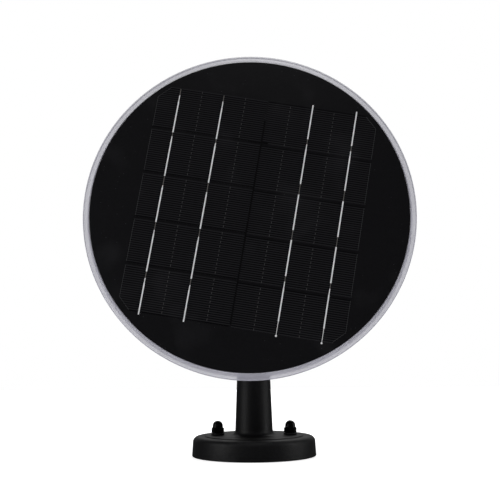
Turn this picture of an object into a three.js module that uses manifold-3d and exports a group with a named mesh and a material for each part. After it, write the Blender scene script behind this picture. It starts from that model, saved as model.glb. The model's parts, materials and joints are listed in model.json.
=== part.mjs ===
// A round solar-powered security camera light on a cast post.
//
// A disc-shaped head carries a laminate of ten solar cells on its sunny side and a camera, motion
// sensor and ring light on its other side. The head turns on a hub and tilts in a fork at the top of
// a tapered post, which is cast in one piece with a round wall plate.
//
// Units are millimetres and degrees. +Z is up and the sunny side faces -Y. The origin is the middle
// of the wall plate's back face, where a wall bracket touches the wall.

import * as THREE from 'three';
import { mergeVertices } from 'three/addons/utils/BufferGeometryUtils.js';
import Module from 'manifold-3d';

const wasm = await Module();
wasm.setup();

// ---------------------------------------------------------------- driving dimensions

// Pose in which the part is stored.
const HEAD_TILT = 9; // the sunny side leans this far back from upright
const HEAD_TURN = 9.7; // the head is turned this far clockwise on its hub, seen from the sunny side

// Fits and smoothness.
const GAP = 0.3; // between pieces that touch
const SLIP = 0.4; // radial clearance of turning and sliding pieces
const BIG_ROUND = 40; // segments round the head and the wall plate
const MID_ROUND = 20;
const SMALL_ROUND = 10;

// Wall plate and post, one casting.
const PLATE_RADIUS = 45.3;
const PLATE_HEIGHT = 14.5;
const PLATE_WALL = 2.8;
const PLATE_DRAFT = 0.6; // how much the plate narrows towards its top
const PLATE_SHOULDER = 4;
const PAD_RADIUS = 36.1; // flat pad that the cap nuts sit on
const PAD_HEIGHT = 0.6;
const POST_FOOT_RADIUS = 13.7;
const POST_FOOT_FILLET = 4;
const POST_TAPER = 0.04; // radius lost per millimetre of height
const POST_BORE = 5.5;
const FORK_GRIP = 26; // height of the fork below the tilt axis

// Tilt joint.
const HINGE_HEIGHT = 165.5;
const LUG_WIDTH = 9;
const LUG_RADIUS = 9;
const EAR_THICKNESS = 4.5;
const EAR_RADIUS = 9.8;
const FRICTION_WASHER = 0.8;
const FRICTION_WASHER_RADIUS = 8;
const TILT_BOLT_RADIUS = 2.5;
const BOLT_HEAD_RADIUS = 4.25;
const BOLT_HEAD = 5;
const BOLT_SOCKET = 4; // across the flats of the key
const BOLT_SOCKET_DEPTH = 2.5;
const KNOB_RADIUS = 11;
const KNOB_LOBES = 6;
const KNOB_VALLEY_RADIUS = 2.4;
const KNOB_COLLAR_RADIUS = 6;
const KNOB_COLLAR = 2;
const KNOB_THICKNESS = 9;

// Hub that the head turns on.
const HUB_FLANGE_RADIUS = 20;
const HUB_FLANGE_THICKNESS = 4.2;
const HUB_SPIGOT_RADIUS = 9.4;
const HUB_OFFSET = -1.3; // the hub's axis stands this far to the left of the post's
const HUB_WALL = 5; // housing wall under the hub
const HUB_PLATE_RADIUS = 16;
const HUB_PLATE_THICKNESS = 2;
const HUB_SCREW_RADIUS = 2.4;
const WAVE_WASHER = 0.8;

// Head, from the sunny face backwards.
const HINGE_REACH = 20; // from the tilt axis to the housing's back
const PANEL_RADIUS = 111.9;
const RING_BAND = 4.9; // how far the ring stands out round the panel
const FILM = 0.6;
const BACKING = 1.2;
const PANEL_TAPE = 0.6;
const RING_LEDGE_WIDTH = 3.9; // seat under the panel's edge
const RING_LEDGE = 1.8;
const RING_DEPTH = 17.6;
const RING_WALL = 2.6;
const CHASSIS = 2.2;
const RING_UNDERSIDE = 24.9; // width of the lit underside of the ring
const HOUSING_WALL = 2.5;
const HOUSING_LIP = 3.6; // how far the housing's flange covers the ring
const FLANGE_THICKNESS = 2.2;

// Solar cells: 156.75 mm wafers with cropped corners, cut into two columns and five rows.
const WAFER = 156.75;
const WAFER_CROP = 8.3;
const CELL_COLUMNS = 2;
const CELL_ROWS = 5;
const COLUMN_GAP = 1.2;
const ROW_GAP = 1.6;
const CELL_THICKNESS = 0.3;
const RIBBON_WIDTH = 1.1;
const RIBBON_THICKNESS = 0.2;
const BUSBARS_PER_WAFER = 5; // the middle one is lost in the cut between the columns
const RIBBON_SETBACK = 6.5; // bare busbar between a cell's edge and its ribbon

// Housing screws.
const SCREW_COUNT = 6;
const SCREW_INSET = 11.9; // from the housing's side to a screw
const SCREW_RADIUS = 1.5;
const SCREW_HEAD_RADIUS = 2.8;
const SCREW_HEAD = 2;
const SCREW_BITE = 2.9; // how deep a screw sits in the chassis boss
const BOSS_DEPTH = 13.2; // where the chassis bosses end
const SCREW_BOSS_RADIUS = 4.2;

// Camera eye, a ball on two pins.
const EYE_UP = 56; // distance of the eye above the hub
const EYE_RADIUS = 18;
const EYE_FRONT = 14; // from the ball's centre to its flat front
const EYE_BACK = 12;
const EYE_BORE = 9.8;
const EYE_PIN_RADIUS = 1.9;
const EYE_PIN_LENGTH = 2.6; // of each pin, outside the ball
const TURRET_WALL = 5.7; // from the ball's bore to the turret's side
const TURRET_HEIGHT = 6;
const EYE_SLEEVE_WALL = 2.2;
const EYE_SLEEVE_DEPTH = 5;
const BEZEL = 2.2;

// Motion sensor, speaker, button, port and status light, placed on the housing's back.
const SENSOR_AT = [47.5, 40];
const SENSOR_RADIUS = 11;
const SENSOR_HEIGHT = 7.5;
const SPEAKER_AT = [56, -14];
const SPEAKER_RADIUS = 10;
const SPEAKER_DEPTH = 8;
const PORT_AT = [-52, 30];
const PORT_SLOT = [12.4, 6.4];
const FLAP = [17, 11];
const FLAP_THICKNESS = 1.4;
const FLAP_PLUG_DEPTH = 2;
const BUTTON_AT = [-42, 50];
const BUTTON_RADIUS = 4.2;
const BUTTON_PROUD = 1.2;
const BUTTON_TRAVEL = 0.8;
const STATUS_AT = [-57, 44];
const STATUS_RADIUS = 1;

// Batteries, three cells side by side below the hub.
const BATTERY_COUNT = 3;
const BATTERY_RADIUS = 9.2;
const BATTERY_LENGTH = 65;
const MAIN_BOARD = [84, 40];
const CONTROL_BOARD = [30, 34];
const BOARD_THICKNESS = 1.6;
const BATTERY_SPACING = 0.6;
const BATTERY_HEADROOM = 1.8;
const TRAY_FLOOR = 1.2;
const BATTERY_CLEAR = 21.3; // from the hub's axis to the nearest battery

// Lights.
const LED_COUNT = 24;
const LED_INSET = 18.3; // from the ring's rim to the lights
const LED_BOARD = 1.6;
const LED_BOARD_WIDTH = 10;

// Wall hardware.
const STUD_SPACING = 53;
const STUD_RADIUS = 2.5;
const BRACKET_LENGTH = 73;
const BRACKET_WIDTH = 20;
const BRACKET_SHEET = 2;
const BRACKET_RISE = 4;
const BRACKET_FLAT = 34;
const WALL_SLOT = [9, 4.6];
const WALL_SLOT_SPACING = 21;
const STUD_HEAD = 2.6;
const STUD_HEAD_RADIUS = 4.6;
const NUT_ACROSS_FLATS = 8;
const NUT_TURN = 30; // degrees, so that a corner of each nut points sideways
const NUT_HEX_HEIGHT = 3.8;
const NUT_HEIGHT = 8.8;
const NUT_TIP = 3; // from the end of the stud to the top of the dome
const NUT_DOME_RADIUS = 3.75;
const NUT_SEAL = 1;
const NUT_SEAL_RADIUS = 5;
const GASKET_WIDTH = 3;
const GASKET_HEIGHT = 3;

// ---------------------------------------------------------------- materials

const material = (color, roughness, metalness = 0, extra = {}) =>
  new THREE.MeshStandardMaterial({ color, roughness, metalness, ...extra });

const MATERIALS = {
  powderCoat: material(0x1f2123, 0.6, 0.3),
  blackAbs: material(0x17181a, 0.5),
  blackNut: material(0x08090a, 0.25, 0.4),
  steel: material(0xa9abad, 0.35, 1),
  rubber: material(0x121212, 0.85),
  frostedPc: material(0xc4c5cf, 0.35, 0, { transparent: true, opacity: 0.75 }),
  film: material(0x101012, 0.3, 0, { transparent: true, opacity: 0.15 }),
  silicon: material(0x0b0c12, 0.3, 0.2),
  laminate: material(0x0d0e10, 0.5),
  circuitBoard: material(0x14502c, 0.5),
  battery: material(0x2d6fa8, 0.4),
  cameraGlass: material(0x101418, 0.05, 0, { transparent: true, opacity: 0.35 }),
  sensorLens: material(0xe8e8ea, 0.5, 0, { transparent: true, opacity: 0.9 }),
};

// ---------------------------------------------------------------- shape tools

const radians = THREE.MathUtils.degToRad;

// A closed three.js geometry as a solid that can be cut and joined.
function solid(geometry) {
  const bare = geometry.clone();
  bare.deleteAttribute('normal');
  bare.deleteAttribute('uv');
  const merged = mergeVertices(bare, 1e-4);
  return new wasm.Manifold(new wasm.Mesh({
    numProp: 3,
    vertProperties: new Float32Array(merged.attributes.position.array),
    triVerts: new Uint32Array(merged.index.array),
  }));
}

function geometryOf(made) {
  const mesh = made.getMesh();
  const geometry = new THREE.BufferGeometry();
  geometry.setAttribute('position', new THREE.BufferAttribute(mesh.vertProperties, 3));
  geometry.setIndex(new THREE.BufferAttribute(mesh.triVerts, 1));
  geometry.computeVertexNormals();
  return geometry;
}

const join = (first, ...others) => others.reduce((made, other) => made.add(other), first);
const cut = (first, ...others) => others.reduce((made, other) => made.subtract(other), first);
const move = (made, x, y, z) => made.translate([x, y, z]);

// Solid of revolution about +Z. Each corner is [radius, height]; the outline closes on itself or
// along the axis, and may run either way round.
function turned(corners, segments = BIG_ROUND) {
  const area = corners.reduce((sum, [r, z], i) => {
    const [nextR, nextZ] = corners[(i + 1) % corners.length];
    return sum + r * nextZ - nextR * z;
  }, 0);
  const outline = (area > 0 ? corners : [...corners].reverse()).map(([r, z]) => new THREE.Vector2(r, z));
  if (outline.every((corner) => corner.x > 0)) outline.push(outline[0].clone());
  const startsOnAxis = outline.findIndex((corner, i) =>
    corner.x === 0 && outline[(i + 1) % outline.length].x > 0);
  const ordered = startsOnAxis > 0
    ? [...outline.slice(startsOnAxis), ...outline.slice(0, startsOnAxis)]
    : outline;
  const geometry = new THREE.LatheGeometry(ordered, segments);
  geometry.rotateX(Math.PI / 2);
  return solid(geometry);
}

// Cylinder along +Z between two heights.
function rod(radius, low, high, segments = SMALL_ROUND) {
  return turned([[0, low], [radius, low], [radius, high], [0, high]], segments);
}

// Cylinder along +X between two places.
const rodX = (radius, low, high, segments = SMALL_ROUND) =>
  rod(radius, low, high, segments).rotate([0, 90, 0]);

function tube(outer, inner, low, high, segments = MID_ROUND) {
  return turned([[inner, low], [outer, low], [outer, high], [inner, high]], segments);
}

// Block centred in x and y, between two heights.
function block(width, depth, low, high) {
  const geometry = new THREE.BoxGeometry(width, depth, high - low);
  geometry.translate(0, 0, (low + high) / 2);
  return solid(geometry);
}

// An outline in the XY plane, extruded between two heights.
function slab(outline, low, high, curveSegments = 6) {
  const geometry = new THREE.ExtrudeGeometry(outline, {
    depth: high - low, bevelEnabled: false, curveSegments,
  });
  geometry.translate(0, 0, low);
  return solid(geometry);
}

// Rounded rectangle, centred.
function roundedRectangle(width, height, radius) {
  const shape = new THREE.Shape();
  const [x, y] = [width / 2 - radius, height / 2 - radius];
  shape.absarc(x, y, radius, 0, Math.PI / 2);
  shape.absarc(-x, y, radius, Math.PI / 2, Math.PI);
  shape.absarc(-x, -y, radius, Math.PI, Math.PI * 1.5);
  shape.absarc(x, -y, radius, Math.PI * 1.5, Math.PI * 2);
  shape.closePath();
  return shape;
}

function regularPolygon(sides, acrossFlats) {
  const radius = acrossFlats / 2 / Math.cos(Math.PI / sides);
  const corners = Array.from({ length: sides }, (_, i) => {
    const angle = ((i + 0.5) / sides) * Math.PI * 2;
    return new THREE.Vector2(radius * Math.cos(angle), radius * Math.sin(angle));
  });
  return new THREE.Shape(corners);
}

// Points of an arc as [radius, height] corners, for turned outlines. Angles run from +radius.
function arc(centreR, centreZ, radius, from, to, steps) {
  return Array.from({ length: steps + 1 }, (_, i) => {
    const angle = radians(from + ((to - from) * i) / steps);
    return [centreR + radius * Math.cos(angle), centreZ + radius * Math.sin(angle)];
  });
}

// The same shape at equal angles round +Z.
const around = (count, make, start = 0) =>
  Array.from({ length: count }, (_, i) => make(i).rotate([0, 0, start + (360 * i) / count]));

function addPart(group, name, made, look) {
  const mesh = new THREE.Mesh(geometryOf(made), look);
  mesh.name = name;
  group.add(mesh);
}

// ---------------------------------------------------------------- derived places

const ringRadius = PANEL_RADIUS + RING_BAND;
const ledgeRadius = PANEL_RADIUS - RING_LEDGE_WIDTH;
const housingRadius = ringRadius - RING_UNDERSIDE;
const screwCircle = housingRadius - SCREW_INSET;
const ledCircle = ringRadius - LED_INSET;
const batteryPitch = 2 * BATTERY_RADIUS + BATTERY_SPACING;
const batteryFirst = -BATTERY_CLEAR - BATTERY_RADIUS;
const studHole = STUD_RADIUS + SLIP;
const eyeBoreRadius = EYE_RADIUS + 2 * SLIP;
const turretRadius = eyeBoreRadius + TURRET_WALL;
const eyePinReach = EYE_RADIUS + EYE_PIN_LENGTH;
const padTop = PLATE_HEIGHT + PAD_HEIGHT;
const postRadius = (height) => POST_FOOT_RADIUS - POST_TAPER * (height - padTop - POST_FOOT_FILLET);
const lugHalf = LUG_WIDTH / 2;
const earInner = lugHalf + GAP + FRICTION_WASHER + GAP;
const earOuter = earInner + EAR_THICKNESS;
const forkFoot = HINGE_HEIGHT - FORK_GRIP;
const plateInside = PLATE_RADIUS - PLATE_WALL - PLATE_DRAFT;
const studSides = { left: -STUD_SPACING / 2, right: STUD_SPACING / 2 };

// Heights in the head's own frame: 0 is the sunny face and depths are negative.
const cellFront = -(FILM + 2 * GAP);
const cellBack = cellFront - CELL_THICKNESS;
const backingFront = cellBack - GAP;
const panelBack = backingFront - BACKING;
const tapeFront = panelBack - GAP;
const ledgeFront = tapeFront - PANEL_TAPE - GAP;
const ledgeBack = ledgeFront - RING_LEDGE;
const chassisFront = panelBack - GAP;
const chassisBack = chassisFront - CHASSIS;
const chassisRim = ledgeBack - GAP;
const chassisRimBack = chassisRim - RING_LEDGE;
const housingFront = chassisBack - GAP;
const gasketFront = -RING_DEPTH - GAP;
const gasketBack = gasketFront - PANEL_TAPE;
const flangeFront = gasketBack - GAP;
const flangeBack = flangeFront - FLANGE_THICKNESS;
const trayFront = chassisBack - GAP;
const batteryFront = trayFront - TRAY_FLOOR - GAP;
const wallInside = batteryFront - 2 * BATTERY_RADIUS - BATTERY_HEADROOM;
const housingBack = wallInside - HOUSING_WALL;
const hubInside = housingBack + HUB_WALL;
const housingInner = housingRadius - HOUSING_WALL;
const hingeToFace = HINGE_REACH - housingBack;

// ---------------------------------------------------------------- wall plate, post and fork

function stemBaseCasting() {
  const edge = 0.6;
  const topRadius = PLATE_RADIUS - PLATE_DRAFT;
  const shoulderZ = PLATE_HEIGHT - PLATE_SHOULDER;
  const foot = POST_FOOT_RADIUS + POST_FOOT_FILLET;
  const flareFoot = forkFoot - 8;
  const body = turned([
    [0, 0],
    [PLATE_RADIUS - edge, 0],
    [PLATE_RADIUS, edge],
    ...arc(topRadius - PLATE_SHOULDER, shoulderZ, PLATE_SHOULDER, 0, 90, 4),
    [PAD_RADIUS + PAD_HEIGHT, PLATE_HEIGHT],
    [PAD_RADIUS, padTop],
    ...arc(foot, padTop + POST_FOOT_FILLET, POST_FOOT_FILLET, 270, 180, 3),
    [postRadius(flareFoot), flareFoot],
    [earOuter, forkFoot],
    [earOuter, forkFoot + 4],
    [0, forkFoot + 4],
  ]);
  const fork = earOutline(EAR_RADIUS, forkFoot, earOuter);
  const slotFloor = HINGE_HEIGHT - LUG_RADIUS - 2;
  const slot = block(2 * earInner, 4 * EAR_RADIUS, slotFloor, HINGE_HEIGHT + 2 * EAR_RADIUS);
  const boltHole = rodX(TILT_BOLT_RADIUS + SLIP, -2 * earOuter, 2 * earOuter).translate([0, 0, HINGE_HEIGHT]);
  const underside = turned([
    [0, -1],
    [plateInside, -1],
    [plateInside, PLATE_HEIGHT - PLATE_SHOULDER],
    [PLATE_RADIUS - PLATE_SHOULDER - PLATE_WALL, PLATE_HEIGHT - PLATE_WALL],
    [POST_BORE + 3, PLATE_HEIGHT - PLATE_WALL],
    [POST_BORE, PLATE_HEIGHT],
    [POST_BORE * 0.7, forkFoot - 12],
    [0, forkFoot - 10],
  ]);
  const studHoles = Object.values(studSides).map((x) =>
    move(rod(studHole, 0, 2 * padTop), x, 0, 0));
  return cut(join(body, fork), slot, boltHole, underside, ...studHoles);
}

// A slab across x with a round top on the tilt axis, standing on the post.
function earOutline(radius, foot, halfWidth) {
  const shape = new THREE.Shape();
  shape.moveTo(-radius, foot - HINGE_HEIGHT);
  shape.lineTo(radius, foot - HINGE_HEIGHT);
  shape.absarc(0, 0, radius, 0, Math.PI);
  shape.closePath();
  return slab(shape, -halfWidth, halfWidth, 8)
    .rotate([90, 0, 0]).rotate([0, 0, 90])
    .translate([0, 0, HINGE_HEIGHT]);
}

// ---------------------------------------------------------------- wall hardware

// A steel strap: its middle lies on the wall and its ends are raised to clear the stud heads.
function wallBracket() {
  const shape = new THREE.Shape();
  const [end, flat, rise, sheet] = [BRACKET_LENGTH / 2, BRACKET_FLAT / 2, BRACKET_RISE, BRACKET_SHEET];
  shape.moveTo(-flat, 0);
  shape.lineTo(flat, 0);
  shape.lineTo(flat + rise, rise);
  shape.lineTo(end, rise);
  shape.lineTo(end, rise + sheet);
  shape.lineTo(flat + rise - sheet / 2, rise + sheet);
  shape.lineTo(flat - sheet / 2, sheet);
  shape.lineTo(-flat + sheet / 2, sheet);
  shape.lineTo(-flat - rise + sheet / 2, rise + sheet);
  shape.lineTo(-end, rise + sheet);
  shape.lineTo(-end, rise);
  shape.lineTo(-flat - rise, rise);
  shape.closePath();
  const strap = slab(shape, -BRACKET_WIDTH / 2, BRACKET_WIDTH / 2).rotate([90, 0, 0]);
  const studHoles = Object.values(studSides).map((x) =>
    move(rod(studHole, 0, 2 * (rise + sheet)), x, 0, 0));
  const wallSlots = [-0.5, 0.5].map((side) =>
    move(slab(roundedRectangle(...WALL_SLOT, 2.25), -1, sheet + 1, 3), side * WALL_SLOT_SPACING, 0, 0));
  return cut(strap, ...studHoles, ...wallSlots);
}

const studTop = padTop + GAP + NUT_SEAL + GAP + NUT_HEIGHT - NUT_TIP;

function bracketStud() {
  const headTop = BRACKET_RISE - GAP;
  return join(
    rod(STUD_HEAD_RADIUS, headTop - STUD_HEAD, headTop, SMALL_ROUND),
    rod(STUD_RADIUS, headTop - 0.5, studTop),
  );
}

function capNut() {
  const foot = padTop + 2 * GAP + NUT_SEAL;
  const hex = slab(regularPolygon(6, NUT_ACROSS_FLATS), foot, foot + NUT_HEX_HEIGHT).rotate([0, 0, NUT_TURN]);
  const domeZ = foot + NUT_HEIGHT - NUT_DOME_RADIUS;
  const dome = turned([
    [0, foot + NUT_HEX_HEIGHT - 1],
    [NUT_DOME_RADIUS, foot + NUT_HEX_HEIGHT - 1],
    ...arc(0, domeZ, NUT_DOME_RADIUS, 0, 67.5, 3),
    [0, foot + NUT_HEIGHT],
  ], SMALL_ROUND);
  return cut(join(hex, dome), rod(STUD_RADIUS + GAP, foot - 1, studTop + GAP));
}

function addWallHardware(group) {
  addPart(group, 'wall_bracket', wallBracket(), MATERIALS.steel);
  for (const [side, x] of Object.entries(studSides)) {
    addPart(group, `bracket_stud_${side}`, move(bracketStud(), x, 0, 0), MATERIALS.steel);
    const seal = tube(NUT_SEAL_RADIUS, studHole, padTop + GAP, padTop + GAP + NUT_SEAL, SMALL_ROUND);
    addPart(group, `nut_seal_${side}`, move(seal, x, 0, 0), MATERIALS.rubber);
    addPart(group, `cap_nut_${side}`, move(capNut(), x, 0, 0), MATERIALS.blackNut);
  }
  const gasketRadius = plateInside - SLIP;
  const gasket = tube(gasketRadius, gasketRadius - GASKET_WIDTH, 0, GASKET_HEIGHT, BIG_ROUND);
  addPart(group, 'wall_gasket', gasket, MATERIALS.rubber);
}

// ---------------------------------------------------------------- tilt joint

const knobInner = earOuter + GAP;

function tiltBolt() {
  const headLow = -earOuter - GAP - BOLT_HEAD;
  const head = rodX(BOLT_HEAD_RADIUS, headLow, -earOuter - GAP, MID_ROUND);
  const socket = slab(regularPolygon(6, BOLT_SOCKET), headLow - 1, headLow + BOLT_SOCKET_DEPTH);
  const shank = rodX(TILT_BOLT_RADIUS, -earOuter - GAP - 1, knobInner + KNOB_THICKNESS - 2);
  return cut(join(head, shank), socket.rotate([0, 90, 0])).translate([0, 0, HINGE_HEIGHT]);
}

function lockKnob() {
  const grip = rod(KNOB_RADIUS, knobInner + KNOB_COLLAR - 0.5, knobInner + KNOB_THICKNESS, MID_ROUND);
  const valleys = around(KNOB_LOBES, () =>
    move(rod(KNOB_VALLEY_RADIUS, 0, 2 * KNOB_THICKNESS + knobInner, 8), KNOB_RADIUS + 0.6, 0, 0));
  const collar = rod(KNOB_COLLAR_RADIUS, knobInner, knobInner + KNOB_COLLAR, MID_ROUND);
  const thread = rod(TILT_BOLT_RADIUS + GAP, knobInner - 1, knobInner + KNOB_THICKNESS - 1.5);
  return cut(join(cut(grip, ...valleys), collar), thread)
    .rotate([0, 90, 0]).translate([0, 0, HINGE_HEIGHT]);
}

// Places below are in the tilting frame: the tilt axis is x and +Z points at the sunny side.
const flangeTop = HINGE_REACH - GAP;
const flangeFoot = flangeTop - HUB_FLANGE_THICKNESS;
const spigotTop = hingeToFace + hubInside + GAP + WAVE_WASHER;

function tiltKnuckle() {
  const lug = new THREE.Shape();
  lug.moveTo(LUG_RADIUS, 0);
  lug.lineTo(LUG_RADIUS + 1, flangeFoot + 1);
  lug.lineTo(-LUG_RADIUS - 1, flangeFoot + 1);
  lug.lineTo(-LUG_RADIUS, 0);
  lug.absarc(0, 0, LUG_RADIUS, Math.PI, Math.PI * 2);
  lug.closePath();
  const web = slab(lug, -lugHalf, lugHalf, 8)
    .rotate([90, 0, 0]).rotate([0, 0, 90])
    .translate([-HUB_OFFSET, 0, 0]);
  const flange = turned([
    [0, flangeFoot],
    [HUB_FLANGE_RADIUS - 1, flangeFoot],
    [HUB_FLANGE_RADIUS, flangeFoot + 1],
    [HUB_FLANGE_RADIUS, flangeTop],
    [HUB_SPIGOT_RADIUS, flangeTop],
    [HUB_SPIGOT_RADIUS, spigotTop],
    [0, spigotTop],
  ], MID_ROUND);
  const boltHole = rodX(TILT_BOLT_RADIUS + SLIP, -2 * lugHalf, 2 * lugHalf);
  const screwHole = rod(HUB_SCREW_RADIUS + GAP, LUG_RADIUS + 3, spigotTop + 1);
  return cut(join(web, flange), boltHole, screwHole);
}

const hubPlateFoot = spigotTop + GAP;
const hubPlateTop = hubPlateFoot + HUB_PLATE_THICKNESS;

function hubScrew() {
  const headFoot = hubPlateTop + GAP;
  return join(
    rod(4.5, headFoot, headFoot + 3, SMALL_ROUND),
    rod(HUB_SCREW_RADIUS, LUG_RADIUS + 4, headFoot + 1),
  );
}

function addTiltJoint(group, tilting) {
  addPart(group, 'tilt_bolt', tiltBolt(), MATERIALS.steel);
  for (const [side, sign] of [['left', -1], ['right', 1]]) {
    const washer = tube(FRICTION_WASHER_RADIUS, TILT_BOLT_RADIUS + SLIP, lugHalf + GAP, earInner - GAP)
      .rotate([0, sign * 90, 0])
      .translate([0, 0, HINGE_HEIGHT]);
    addPart(group, `friction_washer_${side}`, washer, MATERIALS.steel);
  }
  addPart(group, 'tilt_lock_knob', lockKnob(), MATERIALS.blackAbs);
  addPart(tilting, 'tilt_knuckle', tiltKnuckle(), MATERIALS.powderCoat);
  const wave = tube(HUB_PLATE_RADIUS - 1, HUB_SPIGOT_RADIUS + SLIP, spigotTop - WAVE_WASHER, spigotTop);
  addPart(tilting, 'hub_wave_washer', wave, MATERIALS.steel);
  const plate = tube(HUB_PLATE_RADIUS, HUB_SCREW_RADIUS + GAP, hubPlateFoot, hubPlateTop);
  addPart(tilting, 'hub_retaining_plate', plate, MATERIALS.steel);
  addPart(tilting, 'hub_screw', hubScrew(), MATERIALS.steel);
}

// ---------------------------------------------------------------- solar laminate

// One cell with its two ribbons. Column 0 is the left one; row 0 is the top one. In the left column
// a ribbon leaves the cell at its lower edge, and in the right column at its upper edge.
function solarCell(column, row) {
  const width = WAFER / CELL_COLUMNS;
  const height = WAFER / CELL_ROWS;
  const outer = column === 0 ? -1 : 1;
  const x = outer * (COLUMN_GAP + width) / 2;
  const y = ((CELL_ROWS - 1) / 2 - row) * (height + ROW_GAP);
  const plate = block(width, height, cellBack, cellFront);
  const crop = row === 0 ? 1 : row === CELL_ROWS - 1 ? -1 : 0;
  const cropped = crop === 0 ? plate : cut(plate, block(
    WAFER_CROP * Math.SQRT2, WAFER_CROP * Math.SQRT2, cellBack - 1, cellFront + 1,
  ).rotate([0, 0, 45]).translate([(outer * width) / 2, (crop * height) / 2, 0]));
  const busbarPitch = WAFER / BUSBARS_PER_WAFER;
  const ribbonLength = height - RIBBON_SETBACK;
  const ribbons = [1, 2].map((step) => move(
    block(RIBBON_WIDTH, ribbonLength, cellFront - 0.1, cellFront + RIBBON_THICKNESS),
    outer * (step * busbarPitch - width / 2), (outer * RIBBON_SETBACK) / 2, 0,
  ));
  return move(join(cropped, ...ribbons), x, y, 0);
}

function addLaminate(head) {
  addPart(head, 'panel_film', rod(PANEL_RADIUS, -FILM, 0, BIG_ROUND), MATERIALS.film);
  for (let column = 0; column < CELL_COLUMNS; column += 1) {
    for (let row = 0; row < CELL_ROWS; row += 1) {
      const name = `solar_cell_${column * CELL_ROWS + row + 1}`;
      addPart(head, name, solarCell(column, row), MATERIALS.silicon);
    }
  }
  addPart(head, 'panel_backing', rod(PANEL_RADIUS, panelBack, backingFront, BIG_ROUND), MATERIALS.laminate);
  const tape = tube(PANEL_RADIUS - 0.5, ledgeRadius + 0.5, tapeFront - PANEL_TAPE, tapeFront, BIG_ROUND);
  addPart(head, 'panel_tape', tape, MATERIALS.rubber);
}

// ---------------------------------------------------------------- light ring, chassis and housing

function lightRing() {
  const rim = housingRadius + SLIP;
  const seat = PANEL_RADIUS + GAP + 0.1;
  return turned([
    [ledgeRadius, ledgeFront],
    [seat, ledgeFront],
    [seat, 0.35],
    [seat + 1, 0.35],
    [ringRadius - 1.2, -0.6],
    [ringRadius, -2.4],
    [ringRadius, -5.2],
    [ringRadius - 1.6, -9.2],
    [ringRadius - 6, -13.4],
    [ringRadius - 14, -16.4],
    [rim + 2.4, -RING_DEPTH],
    [rim, -RING_DEPTH],
    [rim, -RING_DEPTH + RING_WALL],
    [rim + 2.4, -RING_DEPTH + RING_WALL],
    [ringRadius - 14.8, -16.4 + RING_WALL],
    [ringRadius - 7.6, -13.4 + RING_WALL - 0.4],
    [ringRadius - 3.8, -8.2],
    [ringRadius - RING_WALL, ledgeBack],
    [ledgeRadius, ledgeBack],
  ]);
}

function chassisPlate() {
  const rimRadius = ringRadius - RING_WALL - 3.4;
  const edge = ledgeRadius - GAP;
  const plate = turned([
    [0, chassisBack],
    [edge - 3.5, chassisBack],
    [edge - 3.5, chassisRimBack],
    [rimRadius, chassisRimBack],
    [rimRadius, chassisRim],
    [edge, chassisRim],
    [edge, chassisFront],
    [0, chassisFront],
  ]);
  const bossFoot = -BOSS_DEPTH;
  const bosses = around(SCREW_COUNT, () =>
    move(rod(SCREW_BOSS_RADIUS - 0.4, bossFoot, chassisBack + 0.5), screwCircle, 0, 0));
  const pilots = around(SCREW_COUNT, () =>
    move(rod(SCREW_RADIUS + GAP, bossFoot - 1, chassisBack + 0.2, 8), screwCircle, 0, 0));
  return cut(join(plate, ...bosses), ...pilots);
}

function ledRingBoard() {
  const front = chassisRimBack - 0.5;
  const back = front - LED_BOARD;
  const half = LED_BOARD_WIDTH / 2;
  const board = tube(ledCircle + half, ledCircle - half, back, front, BIG_ROUND);
  const lights = around(LED_COUNT, () =>
    move(block(2.8, 3.5, back - 0.8, back + 0.2), ledCircle, 0, 0));
  return join(board, ...lights);
}

const turretTop = housingBack - TURRET_HEIGHT;
const sleeveFoot = wallInside + EYE_SLEEVE_DEPTH;
const speakerHoles = [[0, 0], ...[0, 60, 120, 180, 240, 300].map((angle) =>
  [4 * Math.cos(radians(angle)), 4 * Math.sin(radians(angle))])];

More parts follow.
